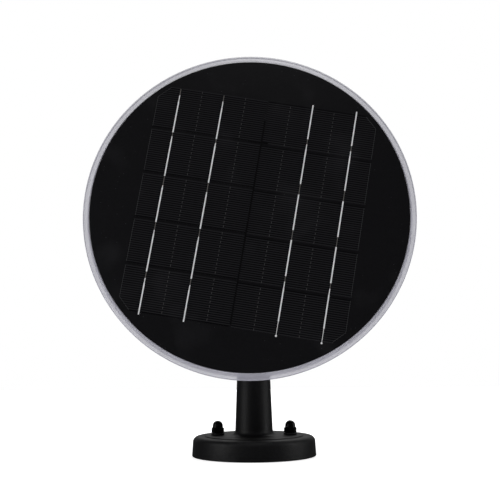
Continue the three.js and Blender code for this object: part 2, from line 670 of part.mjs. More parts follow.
function rearHousing() {
  const shell = turned([
    [housingRadius, housingFront],
    [housingRadius, flangeFront],
    [housingRadius + HOUSING_LIP, flangeFront],
    [housingRadius + HOUSING_LIP, flangeBack + 1],
    [housingRadius + HOUSING_LIP - 1, flangeBack],
    [housingRadius - 1.4, housingBack + 5.4],
    [housingRadius - 4.6, housingBack + 2],
    [housingRadius - 9.4, housingBack + 0.3],
    [housingRadius - 14, housingBack],
    [0, housingBack],
    [0, hubInside],
    [HUB_FLANGE_RADIUS + 4, hubInside],
    [HUB_FLANGE_RADIUS + 6, wallInside],
    [housingRadius - 14, wallInside],
    [housingRadius - 6.6, wallInside + 1.7],
    [housingRadius - 3.8, wallInside + 4.5],
    [housingInner, wallInside + 9.5],
    [housingInner, housingFront],
  ]);
  const turret = turned([
    [0, sleeveFoot],
    [eyeBoreRadius + EYE_SLEEVE_WALL, sleeveFoot],
    [eyeBoreRadius + EYE_SLEEVE_WALL, wallInside - 0.5],
    [turretRadius + 1.5, housingBack + 0.5],
    [turretRadius, turretTop + 1],
    [turretRadius, turretTop],
    [0, turretTop],
  ], MID_ROUND);
  const eyeBore = rod(eyeBoreRadius, turretTop - 1, sleeveFoot + 1, MID_ROUND);
  const pinSlot = block(2 * (eyePinReach + GAP), 2 * (EYE_PIN_RADIUS + GAP), turretTop - 1,
    housingBack + EYE_PIN_RADIUS + GAP);
  const bossFoot = -BOSS_DEPTH - GAP;
  const bosses = around(SCREW_COUNT, () =>
    move(rod(SCREW_BOSS_RADIUS, wallInside - 0.5, bossFoot), screwCircle, 0, 0));
  const counterbores = around(SCREW_COUNT, () => move(join(
    rod(SCREW_HEAD_RADIUS + SLIP, housingBack - 1, screwSeat),
    rod(SCREW_RADIUS + GAP, screwSeat - 1, bossFoot + 1, 8),
  ), screwCircle, 0, 0));
  const spigotHole = rod(HUB_SPIGOT_RADIUS + SLIP, housingBack - 1, hubInside + 1, MID_ROUND);
  const sealGroove = tube(sealOuter + GAP, sealInner - GAP, housingBack - 1, sealTop + GAP);
  const sensorHole = move(rod(SENSOR_RADIUS + SLIP, housingBack - 1, wallInside + 1, MID_ROUND),
    ...SENSOR_AT, 0);
  const grille = speakerHoles.map(([x, y]) =>
    move(rod(1.1, housingBack - 1, wallInside + 1, 8), SPEAKER_AT[0] + x, SPEAKER_AT[1] + y, 0));
  const portSlot = move(
    slab(roundedRectangle(...PORT_SLOT, 2), housingBack - 1, wallInside + 1, 3), ...PORT_AT, 0);
  const buttonHole = move(rod(BUTTON_RADIUS + SLIP, housingBack - 1, wallInside + 1), ...BUTTON_AT, 0);
  const statusHole = move(rod(STATUS_RADIUS + GAP, housingBack - 1, wallInside + 1, 8), ...STATUS_AT, 0);
  const microphone = move(rod(0.9, housingBack - 1, wallInside + 1, 8), 0, 28.5, 0);
  return cut(
    join(shell, move(turret, 0, EYE_UP, 0), ...bosses),
    move(eyeBore, 0, EYE_UP, 0), move(pinSlot, 0, EYE_UP, 0), ...counterbores, spigotHole, sealGroove,
    sensorHole, ...grille, portSlot, buttonHole, statusHole, microphone,
  );
}

const screwSeat = housingBack + 3;

function housingScrew() {
  const headTop = screwSeat - GAP;
  return join(
    rod(SCREW_HEAD_RADIUS, headTop - SCREW_HEAD, headTop),
    rod(SCREW_RADIUS, headTop - 0.5, SCREW_BITE - BOSS_DEPTH, 8),
  );
}

const sealInner = 14;
const sealOuter = 16.4;
const sealTop = housingBack + 1.2;

function addShells(head) {
  addPart(head, 'light_ring', lightRing(), MATERIALS.frostedPc);
  addPart(head, 'chassis_plate', chassisPlate(), MATERIALS.blackAbs);
  addPart(head, 'led_ring_board', ledRingBoard(), MATERIALS.circuitBoard);
  const lip = housingRadius + HOUSING_LIP;
  const gasket = tube(lip - 0.5, housingRadius + 0.5, gasketBack, gasketFront, BIG_ROUND);
  addPart(head, 'ring_gasket', gasket, MATERIALS.rubber);
  addPart(head, 'rear_housing', rearHousing(), MATERIALS.powderCoat);
  addPart(head, 'hub_seal', tube(sealOuter, sealInner, housingBack, sealTop), MATERIALS.rubber);
  around(SCREW_COUNT, () => move(housingScrew(), screwCircle, 0, 0)).forEach((screw, i) =>
    addPart(head, `housing_screw_${i + 1}`, screw, MATERIALS.steel));
}

// ---------------------------------------------------------------- electronics

const batteryHeight = batteryFront - BATTERY_RADIUS;

function batteryTray() {
  const width = BATTERY_LENGTH + 4;
  const depth = batteryPitch * (BATTERY_COUNT - 1) + 2 * BATTERY_RADIUS + 1;
  const floor = trayFront;
  const wall = (side) => move(block(1.5, depth, floor - 8, floor - 0.2), side * (width / 2 - 0.75), 0, 0);
  return join(block(width, depth, floor - TRAY_FLOOR, floor), wall(-1), wall(1));
}

function mainBoard() {
  const front = chassisBack - 2;
  const board = block(...MAIN_BOARD, front - BOARD_THICKNESS, front);
  const shield = move(block(22, 18, front - 4, front - 1.5), -26, -4, 0);
  const charger = move(block(14, 10, front - 3.2, front - 1.5), 28, -8, 0);
  const connector = move(block(12, 5, front - 6.5, front - 1.5), 26, 12, 0);
  return join(board, shield, charger, connector);
}

const controlBoardBack = wallInside + 4.9;

// Small board behind the port and the button: port shell, tact switch and status light.
function controlBoard() {
  const centre = [-47, 40];
  const at = ([x, y], made) => move(made, x - centre[0], y - centre[1], 0);
  const board = block(...CONTROL_BOARD, controlBoardBack, controlBoardBack + BOARD_THICKNESS);
  const shell = cut(
    block(9, 3.4, wallInside + 0.2, controlBoardBack + 0.2),
    block(8, 2.4, wallInside - 1, controlBoardBack - 1),
  );
  const tongue = block(6.6, 0.8, wallInside + 1, controlBoardBack - 0.8);
  const tact = block(6, 6, buttonInside + BUTTON_TRAVEL + 0.15, controlBoardBack + 0.2);
  return move(join(board, at(PORT_AT, shell), at(PORT_AT, tongue), at(BUTTON_AT, tact)), ...centre, 0);
}

const buttonInside = wallInside + GAP + 1;

function powerButton() {
  return join(
    turned([
      [0, housingBack - BUTTON_PROUD],
      [BUTTON_RADIUS - 1, housingBack - BUTTON_PROUD],
      [BUTTON_RADIUS, housingBack - BUTTON_PROUD + 0.6],
      [BUTTON_RADIUS, wallInside + GAP + 0.1],
      [0, wallInside + GAP + 0.1],
    ], SMALL_ROUND),
    rod(BUTTON_RADIUS + 1.4, wallInside + GAP, buttonInside),
  );
}

const flapFoot = housingBack - GAP;
const flapHingeX = PORT_AT[0] - FLAP[0] / 2;

function portFlap() {
  const cover = slab(roundedRectangle(...FLAP, 2.5), flapFoot - FLAP_THICKNESS, flapFoot, 3);
  const plugSize = PORT_SLOT.map((size) => size - 1.6);
  const plug = slab(roundedRectangle(...plugSize, 1.6), flapFoot - 0.2, flapFoot + FLAP_PLUG_DEPTH + GAP, 3);
  const tab = move(block(2, 4, flapFoot - FLAP_THICKNESS - 0.5, flapFoot - 0.4), FLAP[0] / 2 - 0.4, 0, 0);
  return move(join(cover, plug, tab), ...PORT_AT, 0);
}

function motionLens() {
  const flangeTopZ = wallInside + GAP + 1;
  const wall = 1.2;
  const domeZ = housingBack - 1;
  const outside = arc(0, 0, SENSOR_RADIUS, 0, 90, 4).map(([r, z]) =>
    [Math.abs(r) < 1e-6 ? 0 : r, domeZ - (z * (SENSOR_HEIGHT - 1)) / SENSOR_RADIUS]);
  const inside = arc(0, 0, SENSOR_RADIUS - wall, 90, 0, 4).map(([r, z]) =>
    [Math.abs(r) < 1e-6 ? 0 : r, domeZ - (z * (SENSOR_HEIGHT - 1 - wall)) / (SENSOR_RADIUS - wall)]);
  return turned([
    [SENSOR_RADIUS + 2, flangeTopZ],
    [SENSOR_RADIUS + 2, wallInside + GAP],
    [SENSOR_RADIUS, wallInside + GAP],
    ...outside,
    ...inside,
    [SENSOR_RADIUS - wall, flangeTopZ],
  ], MID_ROUND);
}

function motionSensor() {
  const boardBack = wallInside + 6.3;
  return join(
    block(20, 16, boardBack, boardBack + 1.2),
    rod(4.6, boardBack - 4.2, boardBack + 0.2, SMALL_ROUND),
  );
}

function speaker() {
  const back = wallInside + GAP;
  return turned([
    [0, back + 0.8],
    [SPEAKER_RADIUS - 2, back + 0.8],
    [SPEAKER_RADIUS - 1, back],
    [SPEAKER_RADIUS, back],
    [SPEAKER_RADIUS, back + 3],
    [SPEAKER_RADIUS - 3, back + 4],
    [SPEAKER_RADIUS - 3, back + SPEAKER_DEPTH],
    [0, back + SPEAKER_DEPTH],
  ], MID_ROUND);
}

function addElectronics(head) {
  const middle = batteryFirst - (batteryPitch * (BATTERY_COUNT - 1)) / 2;
  addPart(head, 'battery_tray', move(batteryTray(), 0, middle, 0), MATERIALS.blackAbs);
  for (let i = 0; i < BATTERY_COUNT; i += 1) {
    const cell = rodX(BATTERY_RADIUS, -BATTERY_LENGTH / 2, BATTERY_LENGTH / 2, 20);
    addPart(head, `battery_${i + 1}`, move(cell, 0, batteryFirst - i * batteryPitch, batteryHeight),
      MATERIALS.battery);
  }
  addPart(head, 'main_board', move(mainBoard(), 0, 43, 0), MATERIALS.circuitBoard);
  addPart(head, 'control_board', controlBoard(), MATERIALS.circuitBoard);
  addPart(head, 'speaker', move(speaker(), ...SPEAKER_AT, 0), MATERIALS.steel);
  addPart(head, 'motion_sensor', move(motionSensor(), ...SENSOR_AT, 0), MATERIALS.steel);
  addPart(head, 'motion_lens', move(motionLens(), ...SENSOR_AT, 0), MATERIALS.sensorLens);
  addPart(head, 'power_button', move(powerButton(), ...BUTTON_AT, 0), MATERIALS.rubber);
  addPart(head, 'port_flap', portFlap(), MATERIALS.rubber);
  const pipe = rod(STATUS_RADIUS, controlBoardBack - GAP, housingBack - 0.2, 8);
  addPart(head, 'status_light_pipe', move(pipe, ...STATUS_AT, 0), MATERIALS.sensorLens);
}

// ---------------------------------------------------------------- camera eye

// Made about the ball's centre: the lens looks along -Z, away from the sunny side.
function cameraBall() {
  const ball = turned([
    [0, -EYE_FRONT],
    ...arc(0, 0, EYE_RADIUS,
      -THREE.MathUtils.radToDeg(Math.asin(EYE_FRONT / EYE_RADIUS)),
      THREE.MathUtils.radToDeg(Math.asin(EYE_BACK / EYE_RADIUS)), 7),
    [0, EYE_BACK],
  ], MID_ROUND);
  const pins = rodX(EYE_PIN_RADIUS, -eyePinReach, eyePinReach);
  const bore = rod(EYE_BORE, -2 * EYE_RADIUS, 2 * EYE_RADIUS, MID_ROUND);
  return cut(join(ball, pins), bore);
}

function lensBarrel() {
  return turned([
    [0, 7.4],
    [8, 7.4],
    [8, 2],
    [6.2, 1],
    [6.2, -9.4],
    [5.4, -10.4],
    [4.2, -10.4],
    [3.4, -8.6],
    [1.8, -9.2],
    [0, -9.5],
  ], MID_ROUND);
}

function infraredRing() {
  const lamps = around(6, () => move(rod(0.9, -9.2, -7.6, 8), 7.9, 0, 0));
  return join(tube(9.3, 6.6, -8, -7), ...lamps);
}

function addCameraEye(head) {
  const eye = new THREE.Group();
  eye.position.set(0, EYE_UP, housingBack);
  head.add(eye);
  addPart(eye, 'camera_ball', cameraBall(), MATERIALS.blackAbs);
  addPart(eye, 'camera_window', rod(EYE_BORE - SLIP, -EYE_FRONT + 0.3, -EYE_FRONT + 1.5, MID_ROUND),
    MATERIALS.cameraGlass);
  addPart(eye, 'lens_barrel', lensBarrel(), MATERIALS.blackAbs);
  addPart(eye, 'infrared_ring', infraredRing(), MATERIALS.circuitBoard);
  addPart(eye, 'image_sensor_board', rod(EYE_BORE - SLIP, 7.8, 9.4, MID_ROUND), MATERIALS.circuitBoard);
  const bezelFoot = turretTop - GAP;
  const opening = (z) => Math.sqrt(EYE_RADIUS ** 2 - (z - housingBack) ** 2) + SLIP;
  const bezel = turned([
    [opening(bezelFoot), bezelFoot],
    [turretRadius, bezelFoot],
    [turretRadius, bezelFoot - BEZEL + 0.8],
    [turretRadius - 0.8, bezelFoot - BEZEL],
    [opening(bezelFoot - BEZEL), bezelFoot - BEZEL],
  ], MID_ROUND);
  addPart(head, 'camera_bezel', move(bezel, 0, EYE_UP, 0), MATERIALS.blackAbs);
}

// ---------------------------------------------------------------- assembly

const camera = new THREE.Group();
addPart(camera, 'stem_base_casting', stemBaseCasting(), MATERIALS.powderCoat);
addWallHardware(camera);

const tilting = new THREE.Group();
tilting.position.set(HUB_OFFSET, 0, HINGE_HEIGHT);
tilting.rotation.x = radians(90 - HEAD_TILT);
camera.add(tilting);
addTiltJoint(camera, tilting);

const head = new THREE.Group();
head.position.set(0, 0, hingeToFace);
head.rotation.z = -radians(HEAD_TURN);
tilting.add(head);
addLaminate(head);
addShells(head);
addElectronics(head);
addCameraEye(head);

export default camera;
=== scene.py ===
# %% [markdown]
# A solar-powered security camera, finished in Blender.
#
# The measured model comes first: every casing, screw and joint is already in place as a plain solid.
# This lesson gives it its real surfaces. What shows is modelled again with smooth curves, and what is
# right already keeps its shape and gets softened edges and a real finish.

# %% Load the measured model
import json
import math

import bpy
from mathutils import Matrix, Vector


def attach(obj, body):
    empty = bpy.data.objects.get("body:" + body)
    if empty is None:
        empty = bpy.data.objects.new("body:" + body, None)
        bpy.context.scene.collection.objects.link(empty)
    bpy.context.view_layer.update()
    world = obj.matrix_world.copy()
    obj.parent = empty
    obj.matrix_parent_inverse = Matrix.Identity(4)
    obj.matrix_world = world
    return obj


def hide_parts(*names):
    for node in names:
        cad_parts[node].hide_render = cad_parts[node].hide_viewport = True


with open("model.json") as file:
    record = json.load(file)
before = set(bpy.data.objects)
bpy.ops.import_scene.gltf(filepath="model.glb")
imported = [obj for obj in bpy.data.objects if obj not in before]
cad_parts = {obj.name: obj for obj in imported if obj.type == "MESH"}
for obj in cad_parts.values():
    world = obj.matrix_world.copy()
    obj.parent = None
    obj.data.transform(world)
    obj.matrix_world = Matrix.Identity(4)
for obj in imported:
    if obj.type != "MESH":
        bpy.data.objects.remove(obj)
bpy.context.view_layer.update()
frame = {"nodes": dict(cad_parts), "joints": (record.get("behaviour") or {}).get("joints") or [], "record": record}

# %% [markdown]
# Blender works in metres, while a maker thinks of this object in millimetres. Outlines below are in
# millimetres, and one factor turns them into metres.
#
# The head leans back and is turned on its hub, so its pieces are easiest to model lying flat, as they
# would on a bench, with the sunny side up. The joints say where that bench lies in the finished object.

MM = 0.001
JOINTS = {joint["name"]: joint for joint in frame["joints"]}


def bench(origin, x_axis, z_axis):
    """A bench's place: a matrix with its origin and its x and z axes in the object's frame."""
    x, z = Vector(x_axis).normalized(), Vector(z_axis).normalized()
    matrix = Matrix((x, z.cross(x), z)).transposed().to_4x4()
    matrix.translation = origin
    return matrix


FACING = JOINTS["head_turn"]["axis"]
ACROSS = JOINTS["eye_tilt"]["axis"]
GROUND = Matrix.Identity(4)
HEAD = bench(JOINTS["head_turn"]["pos_m"], ACROSS, FACING)
EYE = bench(JOINTS["eye_tilt"]["pos_m"], ACROSS, FACING)
TILT = bench(JOINTS["head_tilt"]["pos_m"], (1, 0, 0), FACING)


def moved(x, y, z=0):
    """A shift along the axes of a bench, in millimetres."""
    return Matrix.Translation(Vector((x, y, z)) * MM)


def size_on(place, node):
    """Lowest and highest corner of a node, measured on a bench, in millimetres."""
    inward = place.inverted()
    points = [inward @ vertex.co / MM for vertex in frame["nodes"][node].data.vertices]
    low = Vector(min(point[k] for point in points) for k in range(3))
    high = Vector(max(point[k] for point in points) for k in range(3))
    return low, high


print(f"the head leans back {math.degrees(math.asin(FACING[2])):.1f} degrees")

# %% [markdown]
# Most shells of this camera were turned or moulded round an axis. The way to model such a piece is to
# draw half of its section and spin it. The outline grows from one vertex by extruding it from corner to
# corner, as with a pen, and the spin operator carries it once round the z axis. Doubled points are then
# merged, which closes the seam and the poles, and the faces are turned to look outwards.

# %% Tools for spinning
def choose(piece):
    """Makes one piece the only selected and the active one."""
    bpy.ops.object.select_all(action="DESELECT")
    piece.select_set(True)
    bpy.context.view_layer.objects.active = piece


def start_edit(piece, part="VERT"):
    choose(piece)
    bpy.ops.object.mode_set(mode="EDIT")
    bpy.ops.mesh.select_mode(type=part)
    bpy.ops.mesh.select_all(action="SELECT")


def close_mesh():
    """Merges doubled points, turns the faces outwards and leaves edit mode."""
    bpy.ops.mesh.select_all(action="SELECT")
    bpy.ops.mesh.remove_doubles(threshold=0.002 * MM)
    bpy.ops.mesh.normals_make_consistent(inside=False)
    bpy.ops.object.mode_set(mode="OBJECT")


def spun(name, outline, steps=96):
    """A solid of revolution round z from (radius, height) corners in millimetres."""
    bpy.ops.object.select_all(action="DESELECT")
    bpy.ops.mesh.primitive_plane_add(size=MM)
    piece = bpy.context.object
    piece.name = name
    start_edit(piece)
    bpy.ops.mesh.merge(type="CENTER")
    points = [Vector((radius, 0, height)) * MM for radius, height in outline]
    bpy.ops.transform.translate(value=points[0])
    for start, end in zip(points, points[1:]):
        bpy.ops.mesh.extrude_region_move(TRANSFORM_OT_translate={"value": end - start})
    bpy.ops.mesh.select_all(action="SELECT")
    bpy.ops.mesh.spin(steps=steps, angle=2 * math.pi, center=(0, 0, 0), axis=(0, 0, 1))
    close_mesh()
    return piece


def arc(radius, height, size, start, end, steps=6, squash=1.0):
    """Corners of an arc round (radius, height), for an outline. Angles are in degrees."""
    turns = [math.radians(start + (end - start) * i / steps) for i in range(steps + 1)]
    return [(radius + size * math.cos(t), height + size * squash * math.sin(t)) for t in turns]


# %% [markdown]
# Bolts, pins and plates start as rods and blocks. A piece's place is always put into its mesh, so that
# its object stays at the origin and its pattern stays still on it.

# %% Tools for blocks and rods
def set_down(piece, place=None):
    """Puts a piece's place into its mesh, so that its object lies at the origin, unturned."""
    choose(piece)
    if place is not None:
        piece.matrix_world = place @ piece.matrix_world
    bpy.ops.object.transform_apply(location=True, rotation=True, scale=True)
    return piece


def rod(radius, low, high, at=(0, 0), sides=48):
    """A cylinder along z between two heights, in millimetres."""
    bpy.ops.object.select_all(action="DESELECT")
    middle = Vector((at[0], at[1], (low + high) / 2)) * MM
    bpy.ops.mesh.primitive_cylinder_add(
        vertices=sides, radius=radius * MM, depth=(high - low) * MM, location=middle
    )
    return set_down(bpy.context.object)


def hexagon(flats, low, high):
    """A six-sided bar along z, given across its flats."""
    return rod(flats / 2 / math.cos(math.pi / 6), low, high, sides=6)


def six_spots(radius, centre=(0, 0)):
    """Six places, 60 degrees apart, on a circle."""
    turns = [math.radians(60 * i) for i in range(6)]
    return [(centre[0] + radius * math.cos(t), centre[1] + radius * math.sin(t)) for t in turns]


def block(low, high):
    """A cuboid between two corners, in millimetres."""
    bpy.ops.object.select_all(action="DESELECT")
    low, high = Vector(low), Vector(high)
    bpy.ops.mesh.primitive_cube_add(size=1, location=(low + high) / 2 * MM)
    bpy.context.object.scale = (high - low) * MM
    return set_down(bpy.context.object)


# %% [markdown]
# Holes and slots are cut the way a workshop cuts them: a cutter of the right shape is put in place and
# taken away from the piece. Large rounds are bevelled on chosen edges. A last, small bevel goes over every
# sharp edge, because no real edge is perfectly sharp and a soft one catches the light.

# %% Tools for rounding and cutting
def round_edges(piece, wanted, width, segments):
    """Bevels the edges whose two ends, in millimetres, are wanted."""
    start_edit(piece, "EDGE")
    bpy.ops.mesh.select_all(action="DESELECT")
    bpy.ops.object.mode_set(mode="OBJECT")
    for edge in piece.data.edges:
        edge.select = wanted(*[piece.data.vertices[i].co / MM for i in edge.vertices])
    bpy.ops.object.mode_set(mode="EDIT")
    bpy.ops.mesh.bevel(offset=width * MM, segments=segments, affect="EDGES")
    close_mesh()
    return piece


def round_plate(width, height, radius, low, high, at=(0, 0)):
    """A plate with round corners, centred on a place."""
    x, y = at
    plate = block((x - width / 2, y - height / 2, low), (x + width / 2, y + height / 2, high))
    upright = lambda a, b: abs(a.z - b.z) > (high - low) / 2
    return round_edges(plate, upright, radius, 6)


def joined(*pieces):
    """Several pieces as one mesh."""
    choose(pieces[0])
    for piece in pieces:
        piece.select_set(True)
    if len(pieces) > 1:
        bpy.ops.object.join()
    return pieces[0]


def copied(piece):
    twin = piece.copy()
    twin.data = piece.data.copy()
    bpy.context.scene.collection.objects.link(twin)
    return twin


def apply_all(piece):
    choose(piece)
    for modifier in list(piece.modifiers):
        bpy.ops.object.modifier_apply(modifier=modifier.name)
    return piece


def combine(piece, operation, *others):
    """Joins, cuts or intersects a piece with others, which are used up."""
    for other in others:
        modifier = piece.modifiers.new(operation.lower(), "BOOLEAN")
        modifier.operation = operation
        modifier.solver = "EXACT"
        modifier.object = other
        apply_all(piece)
        bpy.data.objects.remove(other, do_unlink=True)
    return piece


def soften(piece, width, segments=2, angle=32):
    """Rounds every edge sharper than an angle, by a width in millimetres."""
    modifier = piece.modifiers.new("soft edges", "BEVEL")
    modifier.width = width * MM
    modifier.segments = segments
    modifier.limit_method = "ANGLE"
    modifier.angle_limit = math.radians(angle)
    modifier.use_clamp_overlap = True
    return apply_all(piece)


# %% [markdown]
# A finished piece is shaded smooth except over its sharp edges, carried from the bench to its place, and
# tied to the body that it moves with. It takes over from the plain solids that it stands for.
#
# A solid whose shape is right already is copied. Its loose triangles are merged back into whole faces
# before its edges are rounded by the small radius that moulding or tumbling leaves.

# %% Tools for handing a piece over
def finished(piece, place, material, *nodes, body=None, slot=None, angle=32):
    """Places a piece, gives it its finish and puts it in for the nodes that it replaces."""
    record = frame["record"]
    if body is None:
        body = next(b for b, names in record["behaviour"]["bodies"].items() if nodes[0] in names)
    if slot is None:
        slot = next(p["material_slot"] for p in record["subparts"] if p["node"] == nodes[0])
    set_down(piece, place)
    bpy.ops.object.shade_smooth_by_angle(angle=math.radians(angle))
    piece.data.materials.clear()
    piece.data.materials.append(material)
    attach(piece, body)
    if nodes:
        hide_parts(*nodes)
    print(f"{piece.name}: {len(piece.data.polygons)} faces, on {body}")
    return piece


def refined(node, material, width=0.3, angle=32):
    """A node with softened edges and its real finish, in place of the plain solid."""
    piece = copied(frame["nodes"][node])
    piece.name = f"finished_{node}"
    piece.parent = None
    for key in list(piece.keys()):
        del piece[key]
    start_edit(piece)
    bpy.ops.mesh.remove_doubles(threshold=0.002 * MM)
    bpy.ops.mesh.dissolve_limited(angle_limit=math.radians(0.5))
    bpy.ops.object.mode_set(mode="OBJECT")
    soften(piece, width, 2, angle)
    return finished(piece, GROUND, material, node, angle=angle)


# %% [markdown]
# Every finish below is built from nodes. A colour is written as the hex value that a colour chart gives,
# and one function turns it into the linear light that the shader expects. Another adds a node, sets it
# up and links its inputs in one line, so that each finish reads like a recipe. A new material already
# has a Principled BSDF, so naming that one sets it instead of adding a second.

# %% Tools for finishes
def linear(code):
    """Linear light from an sRGB hex colour such as #20242a."""
    parts = [int(code[i : i + 2], 16) / 255 for i in (1, 3, 5)]
    return (*[c / 12.92 if c < 0.04045 else ((c + 0.055) / 1.055) ** 2.4 for c in parts], 1)


def new_finish(name):
    material = bpy.data.materials.new(name)
    material.use_nodes = True
    print("finish:", name)
    return material


def add(material, kind, inputs=None, output=0, **settings):
    """Adds a node with its settings and links, and gives back one of its outputs."""
    tree = material.node_tree
    node = tree.nodes.get(kind) or tree.nodes.new(kind)
    for key, value in settings.items():
        setattr(node, key, value)
    for key, value in (inputs or {}).items():
        if isinstance(value, bpy.types.NodeSocket):
            tree.links.new(value, node.inputs[key])
        else:
            node.inputs[key].default_value = value
    return node.outputs[output]


def per_mm(size):
    """The pattern scale that makes a pattern repeat about every size millimetres."""
    return 1 / (size * MM)


# %% [markdown]
# Powder coat is dry paint that is baked onto the casting. It melts into a skin with the feel of fine
# sandpaper: deep black, with each grain catching a little light. Real grains are about 0.3 mm across and
# are drawn at 0.8 mm, so that they show from where a person stands. A slower waviness under them comes
# from the casting itself.

# %% Powder-coated die-cast aluminium
POWDER_COAT = new_finish("powder_coated_die_cast_aluminium")
place = add(POWDER_COAT, "ShaderNodeTexCoord", output="Object")
grain = add(POWDER_COAT, "ShaderNodeTexNoise", {"Vector": place, "Scale": per_mm(0.8), "Detail": 3})
cloud = add(POWDER_COAT, "ShaderNodeTexNoise", {"Vector": place, "Scale": per_mm(14), "Detail": 2})
speck = add(POWDER_COAT, "ShaderNodeMapRange", {"Value": grain, "From Min": 0.42, "From Max": 0.66})
colour = add(
    POWDER_COAT, "ShaderNodeMix",
    {"Factor": speck, 6: linear("#050506"), 7: linear("#0e0e10")}, 2, data_type="RGBA",
)
gloss = add(POWDER_COAT, "ShaderNodeMapRange", {"Value": cloud, "To Min": 0.42, "To Max": 0.56})
wave = add(POWDER_COAT, "ShaderNodeBump", {"Height": cloud, "Distance": 0.3 * MM, "Strength": 0.25})
skin = add(
    POWDER_COAT, "ShaderNodeBump",
    {"Height": grain, "Distance": 0.2 * MM, "Strength": 0.8, "Normal": wave},
)
add(POWDER_COAT, "Principled BSDF", {
    "Base Color": colour, "Roughness": gloss, "Normal": skin, "IOR": 1.5, "Specular IOR Level": 0.2,
})

# %% [markdown]
# The solar laminate is covered by a film embossed with fine pebbles, which scatter glare. What reaches
# the eye is a satin, nearly black sheet. The film was pressed over cells and back sheet, so it also waves
# a little over several centimetres, which changes its gloss and tilts its surface. Faint pale patches
# where the waves rise are a painted reflection, added to the colour.

# %% Embossed film over a black back sheet
FILM = new_finish("embossed_film_on_black_back_sheet")


def under_film(material, colour):
    """Covers a colour with the embossed film: its pebbles, slow waves and satin gloss, and faint pale patches of
    painted reflection added to the colour where the waves rise.
    """
    place = add(material, "ShaderNodeTexCoord", output="Object")
    pebbles = add(material, "ShaderNodeTexNoise", {"Vector": place, "Scale": per_mm(1.1), "Detail": 1})
    waves = add(material, "ShaderNodeTexNoise", {"Vector": place, "Scale": per_mm(34), "Detail": 2})
    # painted reflection: faint pale patches added to the colour where the slow waves rise
    reflection_patch = add(material, "ShaderNodeMapRange", {"Value": waves, "From Min": 0.55, "From Max": 0.75})
    painted_reflection = add(
        material, "ShaderNodeMix", {"Factor": reflection_patch, 6: linear("#000000"), 7: linear("#0b0b0c")}, 2,
        data_type="RGBA",
    )
    with_painted_reflection = add(
        material, "ShaderNodeMix", {"Factor": 1.0, 6: colour, 7: painted_reflection}, 2,
        data_type="RGBA", blend_type="ADD",
    )
    gloss = add(material, "ShaderNodeMapRange", {"Value": waves, "To Min": 0.34, "To Max": 0.46})
    slow = add(material, "ShaderNodeBump", {"Height": waves, "Distance": 1.2 * MM, "Strength": 0.3})
    fine = add(
        material, "ShaderNodeBump",
        {"Height": pebbles, "Distance": 0.08 * MM, "Strength": 0.5, "Normal": slow},
    )
    add(material, "Principled BSDF", {
        "Base Color": with_painted_reflection, "Roughness": gloss, "Normal": fine, "IOR": 1.4, "Specular IOR Level": 0.06,
    })


place = add(FILM, "ShaderNodeTexCoord", output="Object")
grit = add(FILM, "ShaderNodeTexNoise", {"Vector": place, "Scale": per_mm(0.9), "Detail": 2})
sheet = add(
    FILM, "ShaderNodeMix", {"Factor": grit, 6: linear("#0a0a0b"), 7: linear("#131315")}, 2,
    data_type="RGBA",
)
spot = add(FILM, "ShaderNodeTexVoronoi", {"Vector": place, "Scale": per_mm(4.5)})
dust = add(FILM, "ShaderNodeMath", {0: spot, 1: 0.05}, operation="LESS_THAN")
under_film(FILM, add(
    FILM, "ShaderNodeMix", {"Factor": dust, 6: sheet, 7: linear("#333336")}, 2, data_type="RGBA",
))

# %% [markdown]
# A monocrystalline cell is a slice of silicon, blue-black from its anti-reflection coat. Fine silver
# fingers are screen-printed across it, and two of its four printed busbars stay bare and show as rows of
# short dashes. The pattern follows each cell, so it is drawn on the cell's own flat map, which counts
# millimetres from the middle of the cell. The real fingers are 0.05 mm wide, too fine to see from here,
# so they are drawn ten times wider and much darker than silver.

# %% Silicon with printed fingers
WAFER = 156.75
CELL_WIDTH, CELL_HEIGHT = WAFER / 2, WAFER / 5
BUSBAR_PITCH = WAFER / 5
FINGER_PITCH = CELL_HEIGHT / 20
FINGER = 0.62
DASH = 0.36
FAR_AWAY = 1000 * FINGER_PITCH

SILICON = new_finish("monocrystalline_silicon_with_printed_fingers")
flat = add(SILICON, "ShaderNodeUVMap", uv_map="cell_mm")
across = add(SILICON, "ShaderNodeSeparateXYZ", {"Vector": flat}, "X")
along = add(SILICON, "ShaderNodeSeparateXYZ", {"Vector": flat}, "Y")
raised = add(SILICON, "ShaderNodeMath", {0: along, 1: FAR_AWAY}, operation="ADD")


def stripes(material, value, pitch, width):
    """1 on stripes of a width at a pitch, 0 between them."""
    share = add(material, "ShaderNodeMath", {0: value, 1: pitch}, operation="MODULO")
    return add(material, "ShaderNodeMath", {0: share, 1: width}, operation="LESS_THAN")


fingers = stripes(SILICON, raised, FINGER_PITCH, FINGER)
dashes = stripes(SILICON, raised, 2 * FINGER_PITCH, FINGER_PITCH)
colour = add(
    SILICON, "ShaderNodeMix", {"Factor": fingers, 6: linear("#030304"), 7: linear("#1f1f21")}, 2,
    data_type="RGBA",
)
for line in (BUSBAR_PITCH / 2 - CELL_WIDTH / 2, BUSBAR_PITCH * 3 / 2 - CELL_WIDTH / 2):
    here = add(SILICON, "ShaderNodeMath", {0: across, 1: line, 2: DASH / 2}, operation="COMPARE")
    dash = add(SILICON, "ShaderNodeMath", {0: here, 1: dashes}, operation="MULTIPLY")
    colour = add(
        SILICON, "ShaderNodeMix", {"Factor": dash, 6: colour, 7: linear("#3a393a")}, 2, data_type="RGBA",
    )
    print(f"a row of dashes {line:.2f} mm from the middle of a cell")
under_film(SILICON, colour)

# %% [markdown]
# Most moulded, plated and printed surfaces differ only a little from place to place. Their colour, gloss
# and relief follow soft noise, each at its own size. One recipe serves them all: it says the size of a
# pattern in millimetres, how much fine detail it has, and the two values that the surface wanders between.

